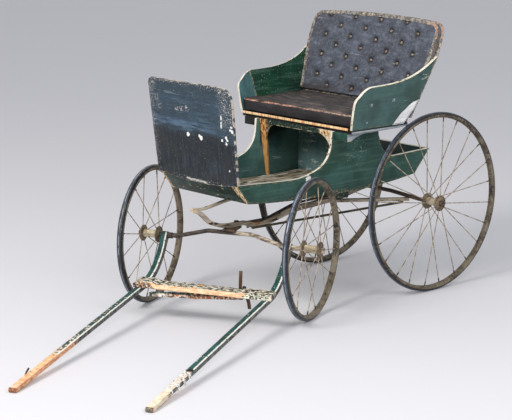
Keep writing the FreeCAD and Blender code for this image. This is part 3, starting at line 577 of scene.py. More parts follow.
@cache
def divider_green():
    """Board behind the seat's arch: green painted lighter to stand in for the fill light it lacks, with soft
    darker patches, scuffed and flecked.
    """
    # Both greens are painted lighter than the paint, standing in for fill light behind the arch: painted
    # light.
    f = old_green("divider_green", (118, 152, 152), (84, 120, 122), (0.12, 1, 1))
    rub = f.both(f.step(f.slanted(0.010, -24, (0.22, 1.0, 1.0)), 0.60, 0.64), f.patches(0.004, 0.42, 0.56))
    f.lay(f.step(f.both(f.noise(0.05), 0.3), 0.0, 0.3), (40, 60, 60), 0.2)
    f.lay(rub, (232, 236, 232), 0.75)
    f.chip(0.005, 0.635, (244, 246, 242))
    return f.finish()


def grey_paint(name):
    """Grey paint in drawn-out streaks."""
    f = Finish(name)
    f.relief = f.noise(0.010, (1, 0.15, 1), detail=6.0, rough=0.65)
    f.base = f.mix(f.step(f.relief, 0.38, 0.64), (164, 170, 174), (118, 128, 132))
    return f


@cache
def board_end():
    """Left end of the seat board: a dark line over the bracket's grey."""
    f = grey_paint("board_end")
    top = f.plus(f.z(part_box("seat_board")[1].z - 0.0118), f.both(f.relief, 0.001))
    f.lay(f.step(top, -0.0004, 0.0006), (30, 32, 30))
    f.chip(0.006, 0.64, (60, 58, 52))
    return f.finish(0.5, depth=0.0003)


@cache
def bracket_grey():
    """Seat bracket: rubbed pale low down, dark where it meets the board."""
    f = grey_paint("bracket_grey")
    f.chip(0.005, 0.66, (74, 66, 56))
    low = f.both(f.step(f.along((0, 0.1, 1), (0, -0.37, 0.551)), 0.006, 0.001), 0.7)
    f.lay(low, (196, 178, 146), f.patches(0.01, 0.45, 0.52))
    f.lay(f.step(f.z(0.5728), -0.001, 0.001), (30, 36, 34))
    return f.finish(0.5, depth=0.0003)


# ---------------------------------------------------------------- bare wood
def wood(name, light, dark, grain):
    """Wood with grain drawn out along one direction of the piece."""
    f = Finish(name)
    f.relief = f.noise(0.006, grain, detail=6.0, rough=0.62)
    broad = f.noise(0.05, grain, detail=3.0)
    f.base = f.mix(f.step(f.relief, 0.38, 0.64), light, dark)
    f.lay(f.step(broad, 0.48, 0.7), dark, 0.5)
    return f


@cache
def dark_board():
    return wood("dark_board", (44, 42, 38), (26, 28, 26), (0.06, 1, 1)).finish(0.62, depth=0.0003)


@cache
def stick_wood():
    return wood("stick_wood", (126, 104, 84), (74, 58, 46), (1, 1, 0.07)).finish(0.62)


@cache
def knob_wood():
    return wood("knob_wood", (206, 172, 116), (150, 112, 70), (1, 1, 0.2)).finish(0.62, depth=0.0004)


@cache
def seat_edge():
    """Bare front lip of the seat board, rubbed bright in slanting strokes."""
    f = Finish("seat_edge")
    strokes = f.slanted(0.007, 35, (1.0, 1.0, 0.12))
    f.base = f.mix(f.step(strokes, 0.42, 0.60), (255, 226, 178), (226, 160, 98))
    f.chip(0.010, 0.66, (170, 108, 62))
    return f.finish(0.6, strokes, 0.0004)


@cache
def foot_boards():
    """Floor boards: worn wood between scraps of paint, split along their grain."""
    f = wood("foot_boards", (206, 190, 162), (120, 98, 74), (1, 0.05, 1))
    f.lay(f.flecks(0.030, 0.60, (1, 0.22, 1)), f.two((44, 60, 54), (24, 30, 27), 0.01))
    pale = f.flecks(0.011, 0.535, (1, 0.13, 1))
    f.lay(pale, (255, 250, 236), f.patches(0.05, 0.34, 0.46, (1, 0.5, 1)))
    f.chip(0.010, 0.575, (34, 28, 22), (1, 0.14, 1))
    board = 0.072
    seam = f.do("ABSOLUTE", f.minus(f.do("FRACT", f.both(f.x(0.018), 1 / board)), 0.5))
    f.lay(f.step(seam, 0.030, 0.016), (22, 18, 15))
    return f.finish(0.7, f.plus(f.relief, f.both(f.step(seam, 0.02, 0.04), 2.0)), 0.0008)


@cache
def driftwood():
    """Grey, split wood of the reach, in pale patches that are partly weathering and partly painted highlight,
    with a painted highlight near its front.
    """
    f = Finish("driftwood")
    lines = f.noise(0.004, (1, 0.05, 1), detail=6.0, rough=0.65)
    f.base = f.mix(f.step(lines, 0.40, 0.62), "driftwood", (104, 88, 74))
    # Pale patches: partly weathered wood, partly painted highlight.
    f.lay(f.patches(0.06, 0.42, 0.60, (1, 0.35, 1), detail=4.0), (212, 198, 176), 0.7)
    f.chip(0.012, 0.61, (64, 52, 44), (1, 0.2, 1))
    heart = f.both(f.near((0.0, -0.563, 0.285), 0.030, ragged=0.02), f.step(lines, 0.40, 0.55))
    f.lay(heart, (196, 136, 84), 0.8)
    # Painted highlight: a pale spot near the reach's front end.
    f.lay(f.near((0.0, -0.830, 0.345), 0.022, ragged=0.01), (206, 188, 160), 0.8)
    f.lay(f.both(f.patches(0.05, 0.60, 0.68), f.patches(0.006, 0.44, 0.55)), (70, 92, 86), 0.30)
    return f.finish(0.72, lines, 0.0009)


# ---------------------------------------------------------------- leather and cloth
def hide(name, ground, light, brown, stretch, dull):
    """Old coated leather: drawn-out rubs, fine cracks and a dull sheen."""
    f = Finish(name, Coat_Weight=0.12, Coat_Roughness=0.45)
    rub = f.noise(0.022, stretch, detail=8.0, rough=0.68)
    broad = f.noise(0.12, detail=3.0)
    f.base = f.mix(f.step(rub, 0.46, 0.70), ground, light)
    f.lay(f.step(broad, 0.46, 0.64), brown, 0.45)
    where = f.add("ShaderNodeMapping", {"Vector": f.place, "Scale": stretch})
    cracks = f.add("ShaderNodeTexVoronoi", {"Vector": where, "Scale": 1 / 0.006, "Randomness": 1.0},
                   feature="DISTANCE_TO_EDGE")
    f.relief = f.plus(f.both(f.step(cracks, 0.0, 0.09), 0.6), rub)
    f.rough = f.plus(f.both(rub, 0.30), dull)
    return f


@cache
def back_leather():
    """Back hide: slate rubs, brown under them, painted shade in the dimples and creases, dark at the foot."""
    f = hide("back_leather", "back_hide", (110, 116, 128), (58, 55, 57), (0.55, 1, 1), 0.38)
    f.lay(f.patches(0.014, 0.52, 0.68, (0.14, 1, 1), detail=6.0, rough=0.7), (62, 62, 70), 0.6)
    mottle = f.noise(0.008, detail=6.0, rough=0.72)
    f.lay(f.step(mottle, 0.50, 0.66), (128, 132, 142), 0.45)
    f.lay(f.step(mottle, 0.46, 0.32), (50, 50, 58), 0.55)
    foot = f.both(f.step(f.along(BACK_UP, BACK_FOOT), 0.112, 0.070), f.patches(0.03, 0.38, 0.60, (0.3, 1, 1)))
    f.lay(foot, (58, 48, 44), 0.75)
    # Painted shade in the button dimples and along the creases, read from the dip attribute.
    f.lay(f.step(f.attribute("dip"), 0.15, 0.95), (34, 31, 32), 0.92)
    worn = f.both(f.noise(0.016, detail=6.0, rough=0.7), 0.9)
    worn = f.step(f.plus(f.both(f.attribute("rim"), 0.5), worn), 0.80, 0.92)
    f.lay(worn, f.two((104, 92, 84), (152, 136, 122), 0.012), 0.7)
    f.chip(0.016, 0.655, (150, 148, 152), (0.10, 1, 1), share=0.5)
    return f.finish(depth=0.0006)


@cache
def seat_leather():
    """Cushion hide: brown rubs across the top, a worn line along the front, dark below it."""
    f = hide("seat_leather", "seat_hide", (104, 94, 90), (54, 48, 48), (0.20, 1, 1), 0.36)
    y = f.y(-0.389)
    f.lay(f.patches(0.012, 0.52, 0.66, (0.09, 1, 1), detail=7.0, rough=0.72), (116, 92, 78), 0.75)
    f.chip(0.010, 0.62, (140, 130, 122), (0.14, 1, 1), share=0.65)
    f.chip(0.014, 0.53, (38, 35, 35), (0.30, 1, 1), share=0.85)
    seam = f.strayed(f.z(0.640), 0.010, 0.05, (1, 0, 0), detail=4.0)
    front = f.both(f.step(seam, -0.0075, -0.0105), f.step(y, 0.010, 0.006))
    f.lay(front, f.two((34, 32, 34), (54, 50, 52), 0.02, 0.45, 0.65, (0.25, 1, 1), detail=6.0), 0.94)
    line = f.both(f.about(f.plus(seam, 0.0065), 0.0034, 0.0014), f.step(y, 0.012, 0.008))
    kept = f.patches(0.012, 0.40, 0.50, (0.3, 1, 1), detail=6.0, rough=0.7)
    tan = f.mix(f.step(f.x(), 0.12, -0.12), (190, 168, 150), (216, 164, 140))
    f.lay(line, f.two(tan, (150, 96, 76), 0.006, 0.42, 0.6), f.both(kept, 0.92))
    return f.finish(depth=0.0006)


@cache
def binding_leather():
    """Cracked binding strip round the back, pale grey broken with tan and dark spots."""
    f = Finish("binding_leather")
    f.base = f.two((150, 146, 142), (104, 98, 94), 0.014, 0.42, 0.58, detail=6.0)
    f.chip(0.009, 0.565, (190, 172, 146))
    f.chip(0.007, 0.60, (44, 40, 40))
    corner = f.near((0.285, 0.0, 0.900), 0.055, 0.03)
    f.lay(corner, (190, 146, 122), f.both(f.flecks(0.009, 0.50), 0.8))
    return f.finish(0.6, f.noise(0.003), 0.0006)


@cache
def button_hide():
    """Leather-covered button, its crown rubbed to a pale tan."""
    f = Finish("button_hide")
    f.base = f.two((172, 156, 138), (96, 84, 74), 0.004, 0.40, 0.58, detail=4.0)
    return f.finish(0.55, f.noise(0.0015), 0.0002)


@cache
def frayed_cloth():
    f = Finish("frayed_cloth")
    weave = f.noise(0.0018, detail=3.0)
    f.base = f.two((246, 243, 236), (120, 112, 100), 0.005, 0.46, 0.64)
    f.chip(0.006, 0.62, (54, 56, 50))
    return f.finish(0.85, weave, 0.0004)


# ---------------------------------------------------------------- metal and rubber
@cache
def brass():
    f = Finish("old_brass", Metallic=0.75)
    f.base = f.two((176, 152, 120), (110, 88, 66), 0.006)
    return f.finish(0.42)


IRONS = {
    # name: (dark, rust, light, size of the rubbed specks)
    "axle_iron": ((62, 54, 50), "rust", (150, 138, 126), 0.004),
    "dark_iron": ((40, 37, 36), (66, 56, 46), (96, 86, 74), 0.004),
    "rod_iron": ((54, 50, 44), (84, 78, 58), (120, 112, 96), 0.004),
    "hub_iron": ((98, 87, 72), (136, 118, 95), (184, 168, 142), 0.003),
}


@cache
def iron(name):
    """Iron rusted in patches and rubbed bright in specks."""
    dark, rust, light, fine = IRONS[name]
    f = Finish(name, Metallic=0.25)
    f.base = f.two(dark, rust, 0.03, 0.40, 0.60, detail=6.0)
    f.lay(f.patches(fine, 0.54, 0.66), light, 0.7)
    relief = f.noise(fine / 2, detail=4.0)
    return f.finish(f.plus(f.both(relief, 0.3), 0.42), relief, 0.0004)


@cache
def front_axle_iron():
    """Front axle: sooty on its right half, with a painted highlight along the left."""
    f = Finish("front_axle_iron", Metallic=0.15)
    streak = f.noise(0.008, (0.3, 0.3, 1), detail=6.0, rough=0.7)
    dark = f.mix(f.step(streak, 0.42, 0.62), (62, 54, 50), (98, 88, 80))
    # Painted highlight: pale streaked colour over the left part of the axle.
    pale = f.mix(f.step(streak, 0.44, 0.60), (196, 182, 162), (108, 92, 78))
    reach = f.strayed(f.along(AXLE, FRONT_MID), 0.08, 0.03)
    f.base = f.mix(f.step(reach, 0.015, 0.035), dark, pale)
    return f.finish(f.plus(f.both(streak, 0.3), 0.42), streak)


@cache
def barrel_paint():
    f = Finish("barrel_paint")
    f.base = f.two((206, 192, 164), (160, 144, 118), 0.02, 0.42, 0.6)
    f.chip(0.006, 0.62, (84, 74, 60))
    return f.finish(0.6, f.noise(0.003), 0.0003)


@cache
def rim_finish():
    """Painted rim, khaki where it has faded and rust-brown where it is chipped."""
    f = Finish("rim_finish", Metallic=0.1)
    f.base = f.two("rim", (78, 68, 56), 0.04, 0.38, 0.62)
    f.chip(0.008, 0.58, (146, 136, 118), share=0.8)
    f.chip(0.012, 0.62, (94, 70, 52))
    f.chip(0.016, 0.62, (50, 52, 54))
    return f.finish(0.55, f.noise(0.004), 0.0004)


@cache
def wire_finish():
    f = Finish("wire_finish", Metallic=0.2)
    f.base = f.two("wire", (128, 112, 96), 0.02, 0.40, 0.62)
    f.chip(0.006, 0.60, (206, 192, 168))
    return f.finish(0.5, f.noise(0.002), 0.0002)


@cache
def tyre_with_wear_and_painted_sheen(name, tread, shade):
    """Rubber with a pale band over its crown, partly wear and partly painted reflection, and a painted
    highlight line along it, bruised and flecked with dust.
    """
    f = Finish(name, Coat_Weight=0.30, Coat_Roughness=0.16)
    crown = f.attribute("crown")
    # Tread colour over the crown: partly wear, partly painted reflection.
    worn = f.step(f.strayed(crown, 0.5, 0.06), 0.78, 1.02)
    f.base = f.mix(f.both(worn, 0.85), shade, tread)
    # Painted highlight: a thin broken line along the top of the crown.
    painted_highlight = f.both(f.step(crown, 0.978, 0.990), f.patches(0.05, 0.40, 0.52, detail=4.0))
    f.lay(painted_highlight, f.mix(0.5, tread, (184, 196, 212)), 0.75)
    f.chip(0.010, 0.60, (112, 106, 98), share=0.6)
    f.chip(0.005, 0.68, (170, 168, 162))
    f.chip(0.03, 0.60, shade, share=0.7)
    relief = f.noise(0.006)
    return f.finish(f.plus(f.both(f.noise(0.02), 0.25), 0.26), relief, 0.0004)


# ---------------------------------------------------------------- paint on the draught gear
def end_grain(f, forward, light=(176, 120, 86), deep=(120, 76, 54)):
    """Cut end of a pole, darker than its sides."""
    f.lay(f.step(forward, SHAFT_LENGTH - 0.0008, SHAFT_LENGTH), f.two(light, deep, 0.004, 0.40, 0.60))


def shaft_top(name, eye, tip, bare_from, bare_to):
    """Top of a shaft: a green band, a white line at its left edge, bare wood towards the tip."""
    f = Finish(name)
    left = eye > 0
    lateral = (AXLE - AHEAD * ((tip - eye) / SHAFT_LENGTH)) / (SHAFT_WIDTH / 2)
    side = f.strayed(f.along(lateral, FRONT_MID + AXLE * eye), 0.55, 0.02)
    forward = f.along(AHEAD, FRONT_MID)
    band = f.both(f.step(side, -0.92, -0.84), f.step(side, 0.50, 0.42))
    green = f.two("shaft", (34, 64, 58), 0.05, 0.40, 0.62)
    green = f.mix(f.both(f.patches(0.008, 0.50, 0.62), 0.6), green, (24, 46, 42))
    worn = f.both(f.step(forward, bare_from - 0.70, bare_from), 0.02 if left else 0.13)
    chips = f.flecks(0.007, 0.64, (0.6, 0.6, 1), more=worn)
    below = (160, 156, 140) if left else (208, 150, 112)
    green = f.mix(chips, green, f.two((232, 224, 204), below, 0.012, 0.48, 0.54))
    cream = f.chipped((232, 230, 220), 0.010, 0.60, (60, 66, 60))
    thin = f.chipped((176, 172, 150), 0.008, 0.50, (38, 54, 48))
    f.base = f.mix(band, f.mix(f.step(side, -0.2, 0.0), thin, cream), green)
    grain = f.noise(0.004, (0.25, 0.25, 1))
    light, deep, stain = (250, 206, 160), (224, 166, 118), (176, 110, 70)
    if left:
        light, deep, stain = (252, 226, 204), (232, 198, 168), (84, 74, 62)
    bare = f.chipped(f.mix(f.step(grain, 0.4, 0.62), light, deep), 0.010, 0.64, stain)
    ragged = f.strayed(forward, 0.06 if left else 0.26, 0.010, rough=0.7)
    if left:
        f.lay(f.step(ragged, bare_from - 0.016, bare_from - 0.010), (30, 30, 28))
    f.lay(f.step(ragged, bare_from, bare_from + 0.006), bare)
    palest = f.mix(f.step(grain, 0.44, 0.60), (254, 226, 200), (236, 200, 170))
    f.lay(f.step(ragged, bare_to, bare_to + 0.02), palest)
    collar = f.two((206, 168, 128), (228, 220, 204), 0.012, 0.42, 0.58)
    f.lay(f.step(forward, 0.016, -0.010), collar if left else (34, 32, 32))
    end_grain(f, forward, *(((150, 140, 124), (84, 78, 70)) if left else ()))
    return f.finish(0.52, f.plus(chips, grain), 0.0004)


def shaft_side(name, bare_from, light, deep):
    """Side of a shaft: dark and chipped, bare near its tip."""
    f = Finish(name)
    forward = f.along(AHEAD, FRONT_MID)
    f.base = f.two((92, 96, 94), (56, 60, 60), 0.03, 0.40, 0.62)
    f.chip(0.010, 0.54, (124, 127, 124), (1, 1, 0.4), share=0.7)
    rust = FRONT_MID - AXLE * 0.213 + AHEAD * 0.236 + Vector((0, 0, 0.072))
    f.lay(f.near(rust, 0.022, ragged=0.02), f.two((206, 112, 74), (140, 70, 44), 0.006))
    f.chip(0.006, 0.62, (186, 180, 164))
    f.chip(0.012, 0.64, (122, 76, 54), share=0.8)
    grain = f.noise(0.004, (0.25, 0.25, 1))
    ragged = f.strayed(forward, 0.3, 0.02)
    bare = f.mix(f.step(grain, 0.4, 0.62), light, deep)
    f.lay(f.step(ragged, bare_from, bare_from + 0.02), bare)
    end_grain(f, forward)
    return f.finish(0.6, grain, 0.0004)


@cache
def chipped_bar():
    """Crossbar paint: cream ground with rows of green left between the chips."""
    f = Finish("chipped_bar")
    along, across = f.within(BAR_FRAME, 0), f.within(BAR_FRAME, 1)
    rows = f.add("ShaderNodeCombineXYZ", {"X": f.both(along, 0.45), "Y": across, "Z": 0.0})
    value = f.add("ShaderNodeTexNoise", {"Vector": rows, "Scale": 1 / 0.0078, "Detail": 4.0,
                                         "Roughness": 0.62})
    left = f.step(value, 0.500, 0.525)
    green = f.two((36, 64, 56), (24, 36, 34), 0.02)
    f.base = f.mix(left, f.chipped((226, 218, 200), 0.012, 0.56, (188, 146, 110)), green)
    f.chip(0.010, 0.60, (92, 118, 110), share=0.8)
    return f.finish(0.6, left, 0.0006)


@cache
def bar_bare():
    """Bare front slope of the crossbar, its two ends still painted and stained."""
    f = Finish("bar_bare")
    z = f.within(BAR_FRAME, 2)
    grain = f.noise(0.004, (0.2, 0.2, 1.0), detail=6.0)
    f.base = f.mix(f.step(grain, 0.4, 0.62), (252, 214, 176), (222, 172, 128))
    f.chip(0.010, 0.64, (112, 78, 54))
    ragged = f.strayed(f.within(BAR_FRAME, 0), 0.03, 0.008, rough=0.7)
    near = f.step(f.plus(ragged, f.both(z, -1.6)), 0.150, 0.154)
    f.lay(near, f.two((240, 232, 212), (40, 66, 58), 0.009, 0.50, 0.53, (1, 1, 1.5), detail=4.0))
    far = f.step(f.plus(ragged, f.both(z, 1.6)), -0.176, -0.182)
    stained = f.two((176, 128, 92), (70, 50, 40), 0.008, 0.44, 0.56)
    f.lay(far, f.chipped(stained, 0.007, 0.56, (224, 216, 200)))
    return f.finish(0.62, grain, 0.0004)


@cache
def swing_paint():
    """Swingletree paint: green on top, chipped cream along the front edge."""
    f = Finish("swing_paint")
    green = f.two((54, 88, 78), (26, 38, 34), 0.03)
    chips = f.flecks(0.009, 0.55)
    f.base = f.mix(chips, green, (214, 198, 176))
    edge = f.step(f.strayed(f.within(SWING_FRAME, 1), 0.012, 0.012), -0.006, -0.009)
    worn = f.two((234, 222, 206), (176, 110, 78), 0.008, 0.40, 0.54)
    worn = f.chipped(worn, 0.009, 0.54, (36, 54, 48))
    f.lay(edge, worn, f.patches(0.02, 0.36, 0.44, (0.5, 0.5, 1)))
    blob = f.about(f.plus(f.within(SWING_FRAME, 0), 0.108), 0.026, 0.006)
    f.lay(f.both(blob, f.flecks(0.010, 0.50)), (240, 236, 226))
    return f.finish(0.6, chips, 0.0006)


def sizes():
    """The carriage's size settings."""
    return bpy.context.scene.carriage_sizes


# ---------------------------------------------------------------- pieces
def piece(name, bm, body, finishes, nodes=(), smooth=35.0):
    """An object of this mesh that rides on a body and may stand for CAD nodes."""
    mesh = bpy.data.meshes.new(name)
    bm.to_mesh(mesh)
    bm.free()
    for finish in finishes:
        mesh.materials.append(finish)
    mesh.polygons.foreach_set("use_smooth", [True] * len(mesh.polygons))
    mesh.set_sharp_from_angle(angle=math.radians(smooth))
    obj = bpy.data.objects.new(name, mesh)
    bpy.context.scene.collection.objects.link(obj)
    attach(obj, body)
    if nodes:
        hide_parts(*nodes)
    return obj


def copy_of(node):
    """The node's solid as a clean mesh, its flat faces whole."""
    bm = bmesh.new()
    bm.from_mesh(frame["nodes"][node].data)
    bmesh.ops.remove_doubles(bm, verts=bm.verts, dist=0.00001)
    bmesh.ops.dissolve_limit(bm, angle_limit=math.radians(0.7), verts=bm.verts, edges=bm.edges)
    return bm


def round_edges(bm, width, segments=2):
    """Rounds every edge that turns by more than 32 degrees."""
    sharp = [e for e in bm.edges
             if len(e.link_faces) == 2 and e.calc_face_angle(0) > math.radians(32)]
    bmesh.ops.bevel(bm, geom=sharp, offset=width, offset_type="OFFSET", segments=segments,
                    profile=0.5, affect="EDGES", clamp_overlap=True, material=-1)
    bm.normal_update()


def dress(node, finishes, rule=lambda normal, middle: 0, width=None, segments=2, margin=None):
    """Rounds a board's edges and gives each face the finish that rule(normal, middle) says.

    The broadest face that margin(normal) accepts gets a thin line of the last finish near its rim."""
    bm = copy_of(node)
    round_edges(bm, sizes().edge_round if width is None else width, segments)
    for face in bm.faces:
        face.material_index = rule(face.normal, face.calc_center_median())
    if margin:
        broad = max((f for f in bm.faces if margin(f.normal)), key=lambda f: f.calc_area())
        for step, number in ((2.0 * MM, broad.material_index), (1.7 * MM, len(finishes) - 1)):
            made = bmesh.ops.inset_region(bm, faces=[broad], thickness=step, use_even_offset=True,
                                          use_boundary=True)
            for face in made["faces"]:
                face.material_index = number
    body = frame["nodes"][node]["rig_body"]
    return piece(node + "_dressed", bm, body, finishes, [node])


def joined(*parts):
    """One mesh out of several, which take finish 0, 1, 2 and so on."""
    whole = bmesh.new()
    for number, part in enumerate(parts):
        for face in part.faces:
            face.material_index = number
        mesh = bpy.data.meshes.new("part")
        part.to_mesh(mesh)
        part.free()
        whole.from_mesh(mesh)
        bpy.data.meshes.remove(mesh)
    return whole


def spun(profile, steps, place):
    """Closed profile of (x, radius) points turned about X, then put in place."""
    bm = bmesh.new()
    verts = [bm.verts.new((x, 0, r)) for x, r in profile]
    edges = [bm.edges.new(pair) for pair in zip(verts, verts[1:] + verts[:1])]
    bmesh.ops.spin(bm, geom=verts + edges, cent=(0, 0, 0), axis=(1, 0, 0), dvec=(0, 0, 0),
                   angle=2 * math.pi, steps=steps, use_merge=True)
    bmesh.ops.remove_doubles(bm, verts=bm.verts, dist=0.00001)
    bmesh.ops.recalc_face_normals(bm, faces=bm.faces)
    bmesh.ops.transform(bm, matrix=place, verts=bm.verts)
    return bm


def aim(start, end):
    """Matrix that sets a Z-long shape between two points."""
    way = Vector(end) - Vector(start)
    turn = way.to_track_quat("Z", "Y").to_matrix().to_4x4()
    return Matrix.Translation((Vector(start) + Vector(end)) / 2) @ turn


def add_rod(bm, start, end, r, r_end=None, sides=8):
    length = (Vector(end) - Vector(start)).length
    bmesh.ops.create_cone(bm, cap_ends=True, segments=sides, radius1=r,
                          radius2=r if r_end is None else r_end, depth=length,
                          matrix=aim(start, end))


def add_dome(bm, place, out, r, height, sides=12):
    """Round-headed nail or button that stands on a surface."""
    turn = Vector(out).to_track_quat("Z", "Y").to_matrix().to_4x4()
    shape = Matrix.Translation(place) @ turn @ Matrix.Diagonal((r, r, height, 1.0))
    bmesh.ops.create_uvsphere(bm, u_segments=sides, v_segments=max(sides // 2, 6), radius=1.0,
                              matrix=shape)


def add_nut(bm, place, out, r, height):
    """Square-edged nut with its corners taken off."""
    out = Vector(out).normalized()
    made = bmesh.ops.create_cone(bm, cap_ends=True, segments=6, radius1=r, radius2=r,
                                 depth=height, matrix=aim(place, Vector(place) + out * height))
    edges = dict.fromkeys(e for v in made["verts"] for e in v.link_edges)
    bmesh.ops.bevel(bm, geom=list(edges), offset=r * 0.12, offset_type="OFFSET", segments=1,
                    profile=0.5, affect="EDGES", clamp_overlap=True, material=-1)


def tube(points, r):
    """Mesh tube on a smooth curve through these control points."""
    curve = bpy.data.curves.new("tube", "CURVE")
    curve.dimensions = "3D"
    curve.bevel_depth = r
    curve.bevel_resolution = 1
    curve.use_fill_caps = True
    spline = curve.splines.new("NURBS")
    spline.points.add(len(points) - 1)
    for spot, place in zip(spline.points, points):
        spot.co = (*place, 1.0)
    spline.order_u = 3
    spline.use_endpoint_u = True
    obj = bpy.data.objects.new("tube", curve)
    mesh = bpy.data.meshes.new_from_object(obj)
    bm = bmesh.new()
    bm.from_mesh(mesh)
    bpy.data.objects.remove(obj)
    bpy.data.curves.remove(curve)
    bpy.data.meshes.remove(mesh)
    bmesh.ops.recalc_face_normals(bm, faces=bm.faces)
    return bm


# ---------------------------------------------------------------- soft pads
def remeshed(bm, voxel):
    """Even mesh over a closed shape."""
    mesh = bpy.data.meshes.new("pad")
    bm.to_mesh(mesh)
    bm.free()
    obj = bpy.data.objects.new("pad", mesh)
    bpy.context.scene.collection.objects.link(obj)
    even = obj.modifiers.new("Even", "REMESH")
    even.mode = "VOXEL"
    even.voxel_size = voxel
    graph = bpy.context.evaluated_depsgraph_get()
    fine = bpy.data.meshes.new_from_object(obj.evaluated_get(graph))
    obj.modifiers.clear()
    obj.data = fine
    bpy.data.meshes.remove(mesh)
    return obj


def swell(obj, pressure, cap, held):
    """Blows a pad up as cloth, held where held(point) says, each point moving at most cap."""
    start = [v.co.copy() for v in obj.data.vertices]
    group = obj.vertex_groups.new(name="held")
    for i, place in enumerate(start):
        weight = held(place)
        if weight > 0:
            group.add([i], weight, "REPLACE")
    cloth = obj.modifiers.new("Swell", "CLOTH")
    s = cloth.settings
    s.quality = 5
    s.mass = 0.3
    s.vertex_group_mass = group.name
    s.use_pressure = True
    s.uniform_pressure_force = pressure
    s.effector_weights.gravity = 0
    s.tension_stiffness = 12
    s.compression_stiffness = 12
    s.bending_stiffness = 0.5
    first, last = 1, 20
    cloth.point_cache.frame_start = first
    cloth.point_cache.frame_end = last
    scene = bpy.context.scene
    for number in range(first, last + 1):
        scene.frame_set(number)
    graph = bpy.context.evaluated_depsgraph_get()
    blown = [v.co.copy() for v in obj.evaluated_get(graph).to_mesh().vertices]
    obj.modifiers.clear()
    scene.frame_set(first)
    for v, a, b in zip(obj.data.vertices, start, blown):
        move = b - a
        if move.length > cap:
            move *= cap / move.length
        v.co = a + move
    obj.vertex_groups.clear()
    bm = bmesh.new()
    bm.from_mesh(obj.data)
    old = obj.data
    bpy.data.objects.remove(obj)
    bpy.data.meshes.remove(old)
    return bm


def on_back(x, up, out=0.0):
    """A point given across and up the leaning back, and out from its board."""
    return BACK_FOOT + Vector((x, 0, 0)) + BACK_UP * up + BACK_OUT * out


def back_coordinates(place):
    away = place - BACK_FOOT
    return away.x, away.dot(BACK_UP), away.dot(BACK_OUT)


TOP_ROW = 0.334
FIRST_BUTTON = -0.086
PAD_HALF = 0.255
PAD_SPREAD = 0.186 / 1.077


def row_drift(up):
    """How far the upper rows were set over to the right."""
    return 0.014 * min(max((up - 0.10) / 0.15, 0.0), 1.0)


def button_places():
    """Staggered rows of buttons over the back."""
    s = sizes()
    places = []
    for row in range(8):
        up = TOP_ROW - s.tuft_up * row
        first = FIRST_BUTTON - (s.tuft_across if row % 2 else 0.0)
        for k in range(-2, 4):
            x = first + 2 * s.tuft_across * k
            if abs(x) < 0.232 + up * 0.05:
                places.append((x - row_drift(up), up))
    return places


def to_nearest(x, up, places):
    return min(math.hypot(x - a, up - b) for a, b in places)


# ---------------------------------------------------------------- operators
class CARRIAGE_OT_body(bpy.types.Operator):
    """Paint the body's boards, the dash and the board under the seat"""
    bl_idname = "carriage.body"
    bl_label = "Body"

    def execute(self, context):
        for side, node in ((1, "side_panel_left"), (-1, "side_panel_right")):
            def rule(normal, middle, side=side):
                if abs(normal.x) > 0.92:
                    return 0 if normal.x * side > 0 else 1
                if normal.y < -0.5 and middle.z < 0.445:
                    return 3
                return 0 if normal.z < -0.3 else 2
            dress(node, [body_green(), inner_green(), cream_edge(), corner_edge(), pinstripe()], rule,
                  margin=lambda n, side=side: n.x * side > 0.95)
        dress("front_panel", [front_green(), inner_green(), cream_edge()],
              lambda n, m: 0 if n.y < -0.2 or n.z < 0 else (2 if n.z > 0.9 else 1))
        dress("rear_board", [body_green(), inner_green(), cream_edge()],
              lambda n, m: 2 if n.z > 0.9 else (0 if n.y > 0.2 or n.z < 0 else 1))
        dress("box_divider", [divider_green(), cream_edge()], lambda n, m: 1 if n.z > 0.9 else 0)
        dress("bottom_board", [foot_boards(), body_green()], lambda n, m: 0 if n.z > 0.3 else 1)
        dress("reach_block", [body_green(), cream_edge()])
        dress("seat_riser", [riser_paint(), cream_edge()],
              lambda n, m: 1 if n.z < -0.5 and abs(n.y) < 0.7 else 0)
        dress("dash_board", [dash_paint("dash_front", True), dash_edge(), dash_paint("dash_back", False)],
              lambda n, m: 0 if n.y < -0.92 else 2 if n.y > 0.92 else 1)
        return {"FINISHED"}


class CARRIAGE_OT_seat(bpy.types.Operator):
    """Paint the seat board, its brackets, the arms and the back board"""
    bl_idname = "carriage.seat"
    bl_label = "Seat"

    def execute(self, context):
        dress("seat_board", [dark_board(), seat_edge(), board_end()],
              lambda n, m: 1 if n.y < -0.3 and m.y < -0.388 else 2 if n.x > 0.7 else 0, width=0.8 * MM)
        for side, node in ((1, "seat_bracket_left"), (-1, "seat_bracket_right")):
            # The right bracket takes the dark board finish all over instead of the left one's grey and green:
            # painted shade from the seat above it.
            dress(node, [bracket_grey(), body_green() if side > 0 else dark_board()],
                  lambda n, m, side=side: 0 if side > 0 and (n.x > 0.3 or (n.z < 0 and n.y > -0.9)) else 1)
        for side, node in ((1, "arm_panel_left"), (-1, "arm_panel_right")):
            outer = Vector((side, 0, -0.2)).normalized()
            outer_paint, inner_paint = arm_green(side)

            def rule(normal, middle, outer=outer):
                flat = normal.dot(outer)
                return 0 if flat > 0.92 else (1 if flat < -0.92 else 2)
            dress(node, [outer_paint, inner_paint, cream_edge(), pinstripe()], rule,
                  margin=lambda n, outer=outer: n.dot(outer) > 0.95)
        dress("back_board", [body_green(), binding_leather()],
              lambda n, m: 0 if n.dot(BACK_OUT) < -0.92 else 1)
        return {"FINISHED"}


